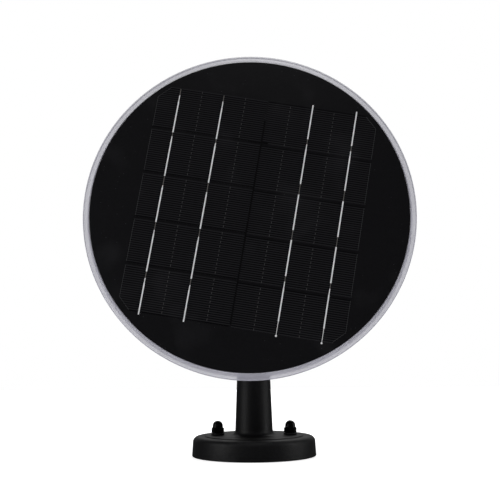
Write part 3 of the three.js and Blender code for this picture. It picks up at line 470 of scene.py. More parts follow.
# %% A recipe for mottled surfaces
def mottled(name, tones=None, gloss=None, relief=None, surface=None):
    """A finish whose colour, gloss and relief follow noise.

    Each of the three starts with the size of its pattern in millimetres and its detail. Then come two
    colours, two roughnesses, or a height in millimetres and a strength. surface holds what stays even.
    """
    material = new_finish(name)
    place = add(material, "ShaderNodeTexCoord", output="Object")
    noise = {}
    for size, detail, *_ in filter(None, (tones, gloss, relief)):
        if (size, detail) not in noise:
            noise[size, detail] = add(
                material, "ShaderNodeTexNoise", {"Vector": place, "Scale": per_mm(size), "Detail": detail}
            )
    inputs = dict(surface or {})
    if tones:
        size, detail, dark, light = tones
        inputs["Base Color"] = add(
            material, "ShaderNodeMix",
            {"Factor": noise[size, detail], 6: linear(dark), 7: linear(light)}, 2, data_type="RGBA",
        )
    if gloss:
        size, detail, low, high = gloss
        inputs["Roughness"] = add(
            material, "ShaderNodeMapRange", {"Value": noise[size, detail], "To Min": low, "To Max": high}
        )
    if relief:
        size, detail, height, strength = relief
        inputs["Normal"] = add(material, "ShaderNodeBump", {
            "Height": noise[size, detail], "Distance": height * MM, "Strength": strength,
        })
    add(material, "Principled BSDF", inputs)
    return material


# %% [markdown]
# The ribbons that carry the current are flat copper wire dipped in tin. The tin is bright but not
# polished, with the small lumps of the soldering iron. Silver paste, which prints the busbars and the
# border of a cell, is duller and warmer.

# %% Tinned ribbon and silver paste
RIBBON = mottled(
    "tinned_copper_ribbon", tones=(2.5, 2, "#bdbdc0", "#f0f0f2"), relief=(2.5, 2, 0.1, 0.5),
    surface={"Roughness": 0.42, "Metallic": 0.3},
)
PASTE = mottled(
    "fired_silver_paste", tones=(0.7, 2, "#19191b", "#29292b"), relief=(0.7, 2, 0.03, 0.4),
    surface={"Roughness": 0.5},
)
BUSBAR = mottled(
    "bare_printed_busbar", tones=(0.9, 2, "#32302f", "#5a5754"), relief=(0.9, 2, 0.03, 0.4),
    surface={"Roughness": 0.48},
)

# %% [markdown]
# The light ring is injection-moulded polycarbonate with a frosted skin. It scatters the light of the
# lamps behind it, and by day it looks milky, a cool lavender grey. It is a little see-through, so what
# stands behind it darkens it.

# %% Frosted polycarbonate
FROSTED = mottled(
    "frosted_clear_polycarbonate", tones=(18, 2, "#a5a4b1", "#b8b7c3"), relief=(0.8, 2, 0.04, 0.3),
    surface={"Roughness": 0.34, "IOR": 1.585, "Alpha": 0.5},
)

# %% [markdown]
# The camera's own plastic pieces come from moulds that were eroded by sparks, which leaves a fine, even
# matt grain. The rubber pieces are silicone: matt, slightly dusty and soft to the eye.

# %% Textured plastic and silicone
ABS = mottled(
    "spark_textured_black_abs", tones=(0.5, 2, "#1b1b1e", "#29292d"), gloss=(9, 2, 0.38, 0.52),
    relief=(0.5, 2, 0.05, 0.5), surface={"IOR": 1.54, "Specular IOR Level": 0.4},
)
SILICONE = mottled(
    "moulded_black_silicone", tones=(5, 4, "#101011", "#1e1e20"), gloss=(5, 4, 0.6, 0.8),
    relief=(0.6, 2, 0.05, 0.35), surface={"IOR": 1.41, "Specular IOR Level": 0.4},
)

# %% [markdown]
# Three metals show: turned stainless steel with fine tool marks, zinc-plated steel strip with its
# spangle, and the cap nuts, which are plated black and polished, so they show small bright highlights.

# %% Steel, zinc and black plate
STEEL = mottled(
    "turned_stainless_steel", gloss=(0.6, 2, 0.22, 0.42), relief=(0.6, 2, 0.01, 0.3),
    surface={"Base Color": linear("#9fa0a2"), "Metallic": 1.0},
)
BLACK_PLATE = mottled(
    "polished_black_plated_steel", gloss=(1.5, 2, 0.12, 0.28), relief=(1.5, 2, 0.03, 0.3),
    surface={"Base Color": linear("#030303"), "IOR": 1.5, "Specular IOR Level": 0.1},
)

ZINC = new_finish("zinc_plated_steel_strip")
place = add(ZINC, "ShaderNodeTexCoord", output="Object")
spangle = add(ZINC, "ShaderNodeTexVoronoi", {"Vector": place, "Scale": per_mm(4)}, "Color")
value = add(ZINC, "ShaderNodeSeparateXYZ", {"Vector": spangle}, "X")
shade = add(
    ZINC, "ShaderNodeMix", {"Factor": value, 6: linear("#979ba0"), 7: linear("#b6babd")}, 2,
    data_type="RGBA",
)
gloss = add(ZINC, "ShaderNodeMapRange", {"Value": value, "To Min": 0.26, "To Max": 0.42})
add(ZINC, "Principled BSDF", {"Base Color": shade, "Metallic": 1.0, "Roughness": gloss})

# %% [markdown]
# Inside are green circuit boards, whose copper tracks show through the solder mask as a paler network,
# and battery cells in blue shrink sleeve.

# %% Circuit board and shrink sleeve
BOARD = new_finish("solder_masked_glass_epoxy")
place = add(BOARD, "ShaderNodeTexCoord", output="Object")
tracks = add(
    BOARD, "ShaderNodeTexVoronoi", {"Vector": place, "Scale": per_mm(3)}, feature="DISTANCE_TO_EDGE",
)
copper = add(BOARD, "ShaderNodeMapRange", {"Value": tracks, "From Min": 0.05, "From Max": 0.14})
mask = add(
    BOARD, "ShaderNodeMix", {"Factor": copper, 6: linear("#2b8a52"), 7: linear("#0f4a29")}, 2,
    data_type="RGBA",
)
relief = add(BOARD, "ShaderNodeBump", {"Height": tracks, "Distance": 0.02 * MM, "Strength": 0.3})
add(BOARD, "Principled BSDF", {
    "Base Color": mask, "Roughness": 0.35, "Normal": relief, "IOR": 1.55,
})

SLEEVE = mottled(
    "pvc_shrink_sleeve", tones=(4, 3, "#255a94", "#3473b4"), gloss=(4, 3, 0.24, 0.42),
    relief=(4, 3, 0.06, 0.4), surface={"IOR": 1.54},
)

# %% [markdown]
# The motion sensor looks out through a milky polyethylene dome that lets heat rays pass. The camera
# window is clear glass, and its front lens carries a violet anti-reflection coat. The infrared lamps are
# dark epoxy domes.

# %% Lens plastics and glass
MILKY = mottled(
    "moulded_milky_polyethylene", tones=(3, 2, "#b4b4b9", "#c8c8cd"), gloss=(3, 2, 0.34, 0.48),
    surface={"IOR": 1.51},
)
GLASS = mottled(
    "coated_clear_glass", gloss=(12, 1, 0.02, 0.07),
    surface={"Base Color": linear("#0d1014"), "IOR": 1.52, "Alpha": 0.3},
)
COATED_LENS = mottled(
    "violet_coated_lens_glass", tones=(5, 1, "#170a2c", "#0a1530"), gloss=(5, 1, 0.02, 0.06),
    surface={"IOR": 1.6, "Coat Weight": 1.0},
)
LAMP = mottled(
    "dark_infrared_epoxy", gloss=(2, 1, 0.08, 0.16),
    surface={"Base Color": linear("#25080f"), "IOR": 1.55},
)
print(len(bpy.data.materials), "finishes")

# %% [markdown]
# The plate and the post are one die casting. Its section is an outline with a rounded shoulder, a low
# pad for the nuts, a fillet at the post's foot and a slight taper that lets it leave the mould. The
# inside is cored out. The fork at the top is a block with a round head, joined on, and the slot and
# holes are cut last, as a machinist would.

# %% The post and wall plate
GAP = 0.3
PLATE_RADIUS = size_on(GROUND, "stem_base_casting")[1].x
PAD_RADIUS, PAD_TOP = 36.1, size_on(GROUND, "nut_seal_right")[0].z - GAP
PLATE_TOP = PAD_TOP - 0.6
PLATE_SKIN, SHOULDER, DRAFT = 2.8, 4.0, 0.6
FOOT_RADIUS, FOOT_FILLET, POST_TAPER, POST_BORE = 13.7, 4.0, 0.04, 5.5
HINGE = TILT.translation / MM
EAR_INSIDE = size_on(GROUND, "friction_washer_right")[1].x + GAP
EAR_OUTSIDE = size_on(GROUND, "tilt_lock_knob")[0].x - GAP
EAR_RADIUS, LUG_RADIUS = 9.8, 9.0
FORK_FOOT = HINGE.z - 26
NECK = FORK_FOOT - 10
M5_HOLE = 2.9


def post_radius(height):
    return FOOT_RADIUS - POST_TAPER * (height - PAD_TOP - FOOT_FILLET)


def casting_outline():
    """The casting's half section, from its core round the plate and up the post."""
    top = PLATE_RADIUS - DRAFT
    inner = top - PLATE_SKIN
    foot = FOOT_RADIUS + FOOT_FILLET
    return [
        (0, NECK), (POST_BORE * 0.7, NECK - 2), (POST_BORE, PLATE_TOP),
        (POST_BORE + 3, PLATE_TOP - PLATE_SKIN),
        (PLATE_RADIUS - SHOULDER - PLATE_SKIN, PLATE_TOP - PLATE_SKIN),
        (inner, PLATE_TOP - SHOULDER), (inner, 0),
        (PLATE_RADIUS - 1.2, 0),
        *arc(PLATE_RADIUS - 0.8, 0.8, 0.8, -60, 0, 4),
        *arc(top - SHOULDER, PLATE_TOP - SHOULDER, SHOULDER, 0, 90, 12),
        (PAD_RADIUS + 0.9, PLATE_TOP),
        *arc(PAD_RADIUS - 0.4, PLATE_TOP + 0.1, 0.5, -10, 90, 4),
        *arc(foot, PAD_TOP + FOOT_FILLET, FOOT_FILLET, 270, 180, 10),
        (post_radius(NECK), NECK), (EAR_OUTSIDE - 0.6, FORK_FOOT), (EAR_OUTSIDE - 0.6, FORK_FOOT + 3.4),
        (EAR_OUTSIDE - 1.6, FORK_FOOT + 4), (0, FORK_FOOT + 4),
    ]


def fork_block():
    """The block of the fork, with the round head that the ears end in."""
    top = HINGE.z + EAR_RADIUS
    ears = block((-EAR_OUTSIDE, -EAR_RADIUS, FORK_FOOT), (EAR_OUTSIDE, EAR_RADIUS, top))
    along_top = lambda a, b: min(a.z, b.z) > top - 1 and abs(a.x - b.x) > 1
    return soften(round_edges(ears, along_top, EAR_RADIUS - 0.02, 16), 0.9, 3, 50)


def laid_across(piece, place=GROUND):
    """Turns a rod that was made along z so that it lies along x, through a place."""
    return set_down(piece, place @ Matrix.Rotation(math.pi / 2, 4, "Y"))


nut_low, nut_high = size_on(GROUND, "cap_nut_right")
STUD_X = (nut_low.x + nut_high.x) / 2
casting = spun("post_and_wall_plate", casting_outline(), 144)
combine(casting, "UNION", fork_block())
fork_slot = block((-EAR_INSIDE, -30, HINGE.z - LUG_RADIUS - 2), (EAR_INSIDE, 30, HINGE.z + 30))
bolt_hole = laid_across(rod(M5_HOLE, -2 * EAR_OUTSIDE, 2 * EAR_OUTSIDE, sides=32), moved(*HINGE))
stud_holes = joined(*[rod(M5_HOLE, -5, 30, (side * STUD_X, 0), 32) for side in (-1, 1)])
combine(casting, "DIFFERENCE", fork_slot, bolt_hole, stud_holes)
soften(casting, 0.3, 2, 45)
finished(casting, GROUND, POWDER_COAT, "stem_base_casting")

# %% [markdown]
# A cap nut starts as a hexagonal bar. Its corners are turned off by a cone, which leaves the curved
# edges that every nut has, and a dome closes the thread. Here the bar is a six-sided cylinder, the cone
# is a spun solid that it is intersected with, and the dome is a second spun solid that is joined on. The
# nut is modelled once and copied.

# %% The cap nuts, their seals and the studs
NUT_HEIGHT = nut_high.z - nut_low.z
NUT_FLATS, HEX_HEIGHT, NUT_DOME = 8.0, 3.9, 3.75


def cap_nut():
    corner = NUT_FLATS / 2 / math.cos(math.pi / 6)
    nut = set_down(hexagon(NUT_FLATS, 0, HEX_HEIGHT), Matrix.Rotation(math.pi / 6, 4, "Z"))
    cone = spun("cone", [
        (0, 0), (corner - 0.4, 0), (corner + 0.05, 0.4), (corner + 0.05, HEX_HEIGHT - 0.7),
        (NUT_DOME + 0.1, HEX_HEIGHT), (0, HEX_HEIGHT),
    ])
    dome_foot = NUT_HEIGHT - NUT_DOME
    dome = spun("dome", [
        (0, 1), (NUT_DOME, 1), (NUT_DOME, dome_foot), *arc(0, dome_foot, NUT_DOME, 0, 90, 12),
    ])
    combine(nut, "INTERSECT", cone)
    combine(nut, "UNION", dome)
    return soften(nut, 0.12, 2, 45)


def stud():
    """A stud with a flat head. Its thread is drawn as rings, one for each turn."""
    low, high = size_on(GROUND, "bracket_stud_right")
    crest, root, pitch = 2.5, 2.15, 0.8
    head = low.z + 2.6
    rings = []
    height = head + pitch / 2
    while height + pitch < high.z - 0.6:
        rings += [(crest, height), (root, height + pitch / 2)]
        height += pitch
    outline = [
        (0, low.z), (4.2, low.z), (4.6, low.z + 0.4), (4.6, head - 0.3), (4.3, head), (crest, head),
        *rings, (crest, height), (1.9, high.z), (0, high.z),
    ]
    return spun("stud", outline, 32)


seal_low, seal_high = size_on(GROUND, "nut_seal_right")
seal_outline = [
    (M5_HOLE, seal_low.z), *arc(4.6, seal_low.z + 0.4, 0.4, -90, 0, 3),
    *arc(4.6, seal_high.z - 0.4, 0.4, 0, 90, 3), (M5_HOLE, seal_high.z), (M5_HOLE, seal_low.z),
]
models = {
    "cap_nut": (cap_nut(), nut_low.z, BLACK_PLATE),
    "nut_seal": (spun("seal", seal_outline, 48), 0, SILICONE),
    "bracket_stud": (stud(), 0, ZINC),
}
for kind, (model, height, material) in models.items():
    for side, sign in (("left", -1), ("right", 1)):
        twin = copied(model)
        twin.name = f"finished_{kind}_{side}"
        finished(twin, moved(sign * STUD_X, 0, height), material, f"{kind}_{side}")
    bpy.data.objects.remove(model, do_unlink=True)

# %% [markdown]
# On the wall side are the pressed steel strap, which keeps its measured shape, and a foam-soft ring that
# seals the plate against the wall, spun from a small rounded section.

# %% The wall strap and gasket
gasket_high = size_on(GROUND, "wall_gasket")[1]
gasket_outer, gasket_inner = gasket_high.x, gasket_high.x - 3.0
ROUND = 0.8
gasket = spun("wall_seal_ring", [
    (gasket_inner, 0), (gasket_outer, 0),
    *arc(gasket_outer - ROUND, gasket_high.z - ROUND, ROUND, 0, 90, 4),
    *arc(gasket_inner + ROUND, gasket_high.z - ROUND, ROUND, 90, 180, 4), (gasket_inner, 0),
], 128)
finished(gasket, GROUND, SILICONE, "wall_gasket")
refined("wall_bracket", ZINC, 0.4)

# %% [markdown]
# The tilt joint is what a person handles: a knob with six finger valleys locks the head's lean. The
# valleys are cut from a turned disc by a ring of rods, and all edges are then rounded for the hand. The
# bolt head on the other side has a hexagonal socket.

# %% The tilt joint
def hinge_bench(x):
    """A bench on the tilt axis, at a distance x in millimetres, with its z along the axis."""
    return bench((x * MM, 0, HINGE.z * MM), (0, 0, -1), (1, 0, 0))


knob_low, knob_high = size_on(GROUND, "tilt_lock_knob")
thickness = knob_high.x - knob_low.x
KNOB_RADIUS, VALLEY_RADIUS = 11.0, 2.4
knob = spun("lock_knob", [
    (0, 0), (6, 0), (6, 1.5), (KNOB_RADIUS - 0.8, 1.5), *arc(KNOB_RADIUS - 0.8, 2.3, 0.8, -90, 0, 4),
    *arc(KNOB_RADIUS - 1.4, thickness - 1.4, 1.4, 0, 90, 5), (6.2, thickness), (5.8, thickness - 0.5),
    (0, thickness - 0.5),
], 120)
valleys = [rod(VALLEY_RADIUS, -1, thickness + 1, spot, 40) for spot in six_spots(KNOB_RADIUS + 0.6)]
combine(knob, "DIFFERENCE", joined(*valleys), rod(2.8, -1, thickness - 1.5, sides=32))
soften(knob, 0.5, 3, 40)
finished(knob, hinge_bench(knob_low.x), ABS, "tilt_lock_knob")

bolt_low, bolt_high = size_on(GROUND, "tilt_bolt")
length = bolt_high.x - bolt_low.x
BOLT_HEAD, BOLT_SOCKET = 5, 4
bolt = spun("hinge_bolt", [
    (0, 0), (3.5, 0), *arc(3.45, 0.8, 0.8, -90, 0, 4), (4.25, BOLT_HEAD), (2.5, BOLT_HEAD),
    (2.5, length - 0.6), (1.9, length), (0, length),
], 64)
combine(bolt, "DIFFERENCE", hexagon(BOLT_SOCKET, -1, 2.5))
soften(bolt, 0.15, 2, 45)
finished(bolt, hinge_bench(bolt_low.x), STEEL, "tilt_bolt")
for side in ("left", "right"):
    refined(f"friction_washer_{side}", STEEL, 0.15)

# %% [markdown]
# The knuckle joins a flat tongue, which tilts in the fork, to a round flange, which the head turns on. It
# is a spun flange with its spigot, joined to a block whose end is rounded about the tilt axis.

# %% The tilt knuckle
knuckle_top = size_on(TILT, "tilt_knuckle")[1].z
FLANGE_RADIUS, SPIGOT_RADIUS = 20.0, 9.4
flange_foot = size_on(HEAD, "hub_seal")[0].z - size_on(HEAD, "tilt_knuckle")[0].z - LUG_RADIUS - 4.5
flange_top = flange_foot + 4.2
knuckle = spun("tilt_and_turn_knuckle", [
    (0, flange_foot), (FLANGE_RADIUS - 1.2, flange_foot),
    *arc(FLANGE_RADIUS - 1.2, flange_foot + 1.2, 1.2, -90, 0, 4),
    *arc(FLANGE_RADIUS - 0.4, flange_top - 0.4, 0.4, 0, 90, 3),
    (SPIGOT_RADIUS, flange_top), (SPIGOT_RADIUS, knuckle_top - 0.5),
    (SPIGOT_RADIUS - 0.5, knuckle_top), (0, knuckle_top),
], 96)
HALF_TONGUE = 4.5
tongue = block(
    (-HINGE.x - HALF_TONGUE, -LUG_RADIUS, -LUG_RADIUS),
    (-HINGE.x + HALF_TONGUE, LUG_RADIUS, flange_foot + 1),
)
under = lambda a, b: max(a.z, b.z) < 0 and abs(a.x - b.x) > 1
round_edges(tongue, under, LUG_RADIUS - 0.02, 16)
combine(knuckle, "UNION", tongue)
cross_hole = laid_across(rod(M5_HOLE, -40, 40, sides=32))
combine(knuckle, "DIFFERENCE", cross_hole, rod(2.7, LUG_RADIUS + 3, knuckle_top + 1, sides=32))
soften(knuckle, 0.4, 2, 45)
finished(knuckle, TILT, POWDER_COAT, "tilt_knuckle")
for node in ("hub_wave_washer", "hub_retaining_plate", "hub_screw"):
    refined(node, STEEL, 0.2)

# %% [markdown]
# The face of the panel is one flat disc: film, cells and back sheet are bonded without air between
# them. It is spun with a small round on its rim.

# %% The panel face
film_top = size_on(HEAD, "panel_film")[1].z
PANEL_RADIUS = size_on(HEAD, "panel_film")[1].x
panel_back = size_on(HEAD, "panel_backing")[0].z
face = spun("laminate_face", [
    (0, panel_back), (PANEL_RADIUS, panel_back),
    *arc(PANEL_RADIUS - 0.3, film_top - 0.3, 0.3, 0, 90, 3), (0, film_top),
], 192)
finished(face, HEAD, FILM, "panel_film", "panel_backing")

# %% [markdown]
# Each cell is half a wafer wide and a fifth of a wafer high, with a cropped corner where the round
# silicon ingot ended. It lies in the face, proud by a few hundredths of a millimetre. The crop is a bevel
# with one segment. A printed line follows only the outer edge and the crop, just inside them, so the
# top is inset twice and the narrow faces between the insets get the silver paste where they lie outside.
# The same model serves both columns, because the cells of the left one lie turned by half a turn.

# %% The solar cells
COLUMN_GAP, ROW_GAP, ARRAY_RISE = 1.2, 1.95, 0.7
CROP, PROUD = 8.3, 0.03
BORDER, LINE = 0.45, 0.22


def cell_plate(corner):
    """A cell on its bench. corner is 1 or -1 where its outer top or bottom corner is cropped."""
    cell = block((-CELL_WIDTH / 2, -CELL_HEIGHT / 2, -0.3), (CELL_WIDTH / 2, CELL_HEIGHT / 2, PROUD))
    if corner:
        outer = lambda a, b: min(a.x, b.x) > 0 and min(a.y * corner, b.y * corner) > 0
        round_edges(cell, outer, CROP, 1)
    return cell


def print_border(cell):
    """Insets the top twice and prints the frame between the insets along the outer edges."""
    start_edit(cell, "FACE")
    bpy.ops.mesh.select_all(action="DESELECT")
    bpy.ops.object.mode_set(mode="OBJECT")
    for top in cell.data.polygons:
        top.select = top.normal.z > 0.9
    bpy.ops.object.mode_set(mode="EDIT")
    bpy.ops.mesh.inset(thickness=BORDER * MM)
    bpy.ops.mesh.inset(thickness=LINE * MM)
    bpy.ops.object.mode_set(mode="OBJECT")
    edge = CELL_WIDTH / 2 - BORDER
    for strip in cell.data.polygons:
        reach = [cell.data.vertices[i].co.x / MM for i in strip.vertices]
        low, high = min(reach), max(reach)
        if strip.normal.z > 0.9 and 0 < low and high < edge + 0.01 and high - low < CROP + 1:
            strip.material_index = 1


def map_in_millimetres(cell):
    """Gives the cell a flat map that counts millimetres from its middle."""
    layer = cell.data.uv_layers.get("cell_mm") or cell.data.uv_layers.new(name="cell_mm")
    for loop in cell.data.loops:
        point = cell.data.vertices[loop.vertex_index].co / MM
        layer.data[loop.index].uv = (point.x, point.y)


def cell_place(column, row):
    """The bench of one cell, on the bench of the head, with z at the sunny face."""
    outer = 1 if column else -1
    x, y = outer * (COLUMN_GAP + CELL_WIDTH) / 2, (2 - row) * (CELL_HEIGHT + ROW_GAP) + ARRAY_RISE
    return moved(x, y, film_top) @ Matrix.Rotation(0 if column else math.pi, 4, "Z")


for column in range(2):
    for row in range(5):
        number = column * 5 + row + 1
        upper = {0: 1, 4: -1}.get(row, 0)
        cell = cell_plate(upper if column else -upper)
        cell.name = f"silicon_cell_{number}"
        print_border(cell)
        map_in_millimetres(cell)
        set_down(cell, HEAD @ cell_place(column, row))
        cell.data.materials.append(SILICON)
        cell.data.materials.append(PASTE)
        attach(cell, "head")
        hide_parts(f"solar_cell_{number}")
print(f"ten cells of {CELL_WIDTH:.1f} by {CELL_HEIGHT:.1f} mm")

# %% [markdown]
# Two lines of ribbon run down each column. A ribbon crosses a cell, ends near its foot and leaves the
# printed busbar bare, and a thin piece of wire leads on to the next ribbon. Ribbons are soldered on by
# hand, so the breaks don't all lie alike: each is given by where the ribbon ends, where the thin piece
# starts and where the next ribbon starts, in millimetres below the foot of its row. At the foot of the
# right column thin tails end in round solder joints.

# %% Ribbons, busbars and solder joints
RIBBON_WIDTH, LEAD_WIDTH, TAIL_WIDTH, PRINT_WIDTH = 0.9, 0.6, 0.35, 0.5
RIBBONS_AT = (BUSBAR_PITCH - CELL_WIDTH / 2, 2 * BUSBAR_PITCH - CELL_WIDTH / 2)
ROW_PITCH = CELL_HEIGHT + ROW_GAP
BREAKS = {
    "left": [(1.2, 4.2, 6.6), (0.5, 7.5, 9.3), (1.1, 6.9, 9.5), (3.6, 8.2, 11.6)],
    "right": [(-8.8, -4.8, -1.0), (-8.7, -0.9, -0.9), (-8.3, -1.1, -1.1), (-8.6, -4.6, -0.2)],
}
TOP_BARE, TOP_LEAD, TOP_OVERHANG, FOOT_OVERHANG = 5.2, 5.0, 2.2, 1.7
TAIL, SOLDER_DROP = 9.0, 1.2


def flat_bar(x, low, high, width, height):
    """A thin bar along y with softened edges, in millimetres above the cells."""
    return soften(block((x - width / 2, low, -0.05), (x + width / 2, high, height)), height * 0.4, 1)


def ribbon_line(x, side):
    """The tinned and the bare pieces of one line down a column."""
    half = 2.5 * ROW_PITCH - ROW_GAP / 2
    head, foot = ARRAY_RISE + half, ARRAY_RISE - half
    tinned, bare = [], []
    if side == "left":
        start, last = head - TOP_BARE - TOP_LEAD, foot - FOOT_OVERHANG
        tinned.append(flat_bar(x, start, start + TOP_LEAD, LEAD_WIDTH, 0.12))
        bare.append(flat_bar(x, start + TOP_LEAD, head - 0.5, PRINT_WIDTH, 0.05))
    else:
        start, last = head + TOP_OVERHANG, foot + TAIL
        solder = spun("solder", [(0, 0), *arc(0, -0.4, 0.8, 30, 90, 4)], 20)
        tinned.append(set_down(solder, moved(x, foot - SOLDER_DROP)))
        tinned.append(flat_bar(x, foot - SOLDER_DROP, last, TAIL_WIDTH, 0.1))
    for row, (end, thin, wide) in enumerate(BREAKS[side]):
        edge = (1.5 - row) * ROW_PITCH + ARRAY_RISE
        tinned.append(flat_bar(x, edge - end, start, RIBBON_WIDTH, 0.16))
        bare.append(flat_bar(x, edge - wide, edge - end, PRINT_WIDTH, 0.05))
        if wide > thin:
            tinned.append(flat_bar(x, edge - wide, edge - thin, LEAD_WIDTH, 0.12))
        start = edge - wide
    tinned.append(flat_bar(x, last, start, RIBBON_WIDTH, 0.16))
    return tinned, bare


on_cells = HEAD @ moved(0, 0, film_top + PROUD)
for side, sign in (("left", -1), ("right", 1)):
    ribbons, busbars = [], []
    for line in RIBBONS_AT:
        tinned, bare = ribbon_line(sign * ((COLUMN_GAP + CELL_WIDTH) / 2 + line), side)
        ribbons += tinned
        busbars += bare
    for name, bars, material in (("ribbons", ribbons, RIBBON), ("busbars", busbars, BUSBAR)):
        strip = joined(*bars)
        strip.name = f"{name}_{side}"
        finished(strip, on_cells, material, body="head", slot="silicon_cell")

# %% [markdown]
# Black masking strip hides the cross-connections in the gaps between the cells, and a short piece of
# black tape holds the two columns together between the first two rows.

# %% Masking strips
MASK = mottled(
    "glossy_black_masking_strip", tones=(1.0, 2, "#030304", "#070708"), relief=(1.0, 2, 0.05, 0.4),
    surface={"Roughness": 0.5, "IOR": 1.4, "Specular IOR Level": 0.06},
)


def strip_on_face(low, high):
    """A thin strip between two corners of the panel face."""
    return soften(block((*low, film_top - 0.1), (*high, film_top + 0.02)), 0.01, 1)


HALF_STRIP = 0.15
inner, outer = COLUMN_GAP / 2, COLUMN_GAP / 2 + CELL_WIDTH
strips = [strip_on_face((-inner, -2.4 * ROW_PITCH), (inner, 2.05 * ROW_PITCH))]
for gap_below in (1.5, 0.5, -0.5, -1.5):
    middle = gap_below * ROW_PITCH + ARRAY_RISE
    for low, high in ((-outer, -inner), (inner, outer)):
        strips.append(strip_on_face((low, middle - HALF_STRIP), (high, middle + HALF_STRIP)))
tape = strip_on_face((-9.4, 1.5 * ROW_PITCH + 1.2), (4.8, 1.5 * ROW_PITCH + 2.6))
mask = joined(*strips, set_down(tape, moved(0, 0, 0.05)))
mask.name = "masking_strips"
finished(mask, HEAD, MASK, body="head", slot="laminate_film")

# %% [markdown]
# The ring round the panel is spun from a thin-walled section: a low lip beside the film, a flat band, a
# soft outer shoulder, and a skirt that curls inwards to meet the housing. A thin band of black rubber
# sits in a shallow groove round the rim as painted shade: it stands for the shade on the curved outer
# shoulder, and shows as a fine dark line where the ring is seen from below.

# %% The light ring
ring_low, ring_high = size_on(HEAD, "light_ring")
RING_RADIUS, RING_BACK = ring_high.x, ring_low.z
LEDGE, LEDGE_FOOT = -4.2, -6.0
# the groove and the band of painted shade round the rim
SHADE_BAND_TOP, SHADE_BAND_FOOT = -3.6, -4.1
CURL, CURL_TOP = 14, -5.4
LIP_ROUND = 0.35
HOUSING_RADIUS = size_on(HEAD, "rear_housing")[1].x - 3.6
LEDGE_RADIUS = PANEL_RADIUS - 3.9
seat = PANEL_RADIUS + 0.4
rim = HOUSING_RADIUS + 0.4
ring = spun("frosted_light_ring", [
    (LEDGE_RADIUS, LEDGE), (seat, LEDGE),
    *arc(seat + LIP_ROUND, 0.0, LIP_ROUND, 180, 90, 3),
    *arc(seat + 2 * LIP_ROUND, 0.0, LIP_ROUND, 90, 20, 3),
    (RING_RADIUS - 1.7, -0.5), *arc(RING_RADIUS - 1.5, -2.0, 1.5, 80, 0, 6),
    (RING_RADIUS, SHADE_BAND_TOP + 0.2), (RING_RADIUS - 0.5, SHADE_BAND_TOP), (RING_RADIUS - 0.5, SHADE_BAND_FOOT),
    (RING_RADIUS, SHADE_BAND_FOOT - 0.2), (RING_RADIUS, CURL_TOP),
    *arc(RING_RADIUS - CURL, CURL_TOP, CURL, -8, -84, 12, 0.83),
    (rim + 2.4, RING_BACK), (rim, RING_BACK), (rim, RING_BACK + 2.6), (rim + 2.4, RING_BACK + 2.6),
    (RING_RADIUS - 14.8, RING_BACK + 3.8), (RING_RADIUS - 7.6, -11.2), (RING_RADIUS - 3.8, -8.2),
    (RING_RADIUS - 2.6, LEDGE_FOOT), (LEDGE_RADIUS, LEDGE_FOOT), (LEDGE_RADIUS, LEDGE),
], 192)
finished(ring, HEAD, FROSTED, "light_ring")
# painted shade: black rubber in a groove round the rim, for the shade on the ring's outer shoulder
painted_shade_band = spun("ring_painted_shade_band", [
    (RING_RADIUS - 0.45, SHADE_BAND_TOP), (RING_RADIUS - 0.1, SHADE_BAND_TOP), (RING_RADIUS - 0.1, SHADE_BAND_FOOT),
    (RING_RADIUS - 0.45, SHADE_BAND_FOOT), (RING_RADIUS - 0.45, SHADE_BAND_TOP),
], 192)
finished(painted_shade_band, HEAD, SILICONE, body="head", slot="black_rubber")

# %% [markdown]
# The rear housing is a shallow drum with a soft edge and a raised turret for the camera. It is spun, and
# the turret and the screw posts are joined on. Its hollow side is part of the same outline, so its wall
# is as thin as a moulder would make it.

# %% The rear housing's shell
HOUSING_FRONT = size_on(HEAD, "rear_housing")[1].z
BACK = size_on(HEAD, "hub_seal")[0].z
FLANGE = size_on(HEAD, "ring_gasket")[0].z - GAP
INSIDE = BACK + 2.5
SHOULDER_CENTRE, SHOULDER_SIZE = HOUSING_RADIUS - 14, 14.1
TURRET_RADIUS, TURRET_TOP = 24.5, BACK - 6
TURRET_FOOT = TURRET_RADIUS + 3
EYE_UP, EYE_HOLE = 56.0, 18.8
SCREW_SPOTS = six_spots(80)

shoulder_height = FLANGE - 2.9
housing = spun("rear_housing_shell", [
    (0, BACK + 5), (24, BACK + 5), (26, INSIDE), (SHOULDER_CENTRE, INSIDE),
    (HOUSING_RADIUS - 6.6, INSIDE + 1.7), (HOUSING_RADIUS - 3.8, INSIDE + 4.5),
    (HOUSING_RADIUS - 2.5, INSIDE + 9.5), (HOUSING_RADIUS - 2.5, HOUSING_FRONT),
    (HOUSING_RADIUS, HOUSING_FRONT), (HOUSING_RADIUS, FLANGE), (HOUSING_RADIUS + 3.6, FLANGE),
    (HOUSING_RADIUS + 3.6, FLANGE - 1.2), *arc(HOUSING_RADIUS + 2.6, FLANGE - 1.2, 1.0, 0, -90, 5),
    (HOUSING_RADIUS + 1.0, FLANGE - 2.3),
    *arc(SHOULDER_CENTRE, shoulder_height, SHOULDER_SIZE, -6, -90, 18,
         (shoulder_height - BACK) / SHOULDER_SIZE),
    (0, BACK),
], 192)
turret = spun("turret", [
    (0, INSIDE + 5), (EYE_HOLE + 2.2, INSIDE + 5), (EYE_HOLE + 2.2, BACK + 1.5), (TURRET_FOOT, BACK + 1.5),
    (TURRET_FOOT, BACK), *arc(TURRET_FOOT - 0.6, BACK - 2.2, 2.2, 90, 180, 6),
    *arc(TURRET_RADIUS - 0.8, TURRET_TOP + 0.8, 0.8, 0, -90, 4), (0, TURRET_TOP),
], 96)
posts = joined(*[rod(4.2, BACK + 1.5, -13.5, spot) for spot in SCREW_SPOTS])
combine(housing, "UNION", set_down(turret, moved(0, EYE_UP)), posts)

# %% [markdown]
# Then everything that opens the shell is cut: the eye's hole with its pin slots, six screw pockets, the
# hub, the sensor, seven sound holes, the port, the button, the status light and the microphone. A groove
# round the hub takes the seal.

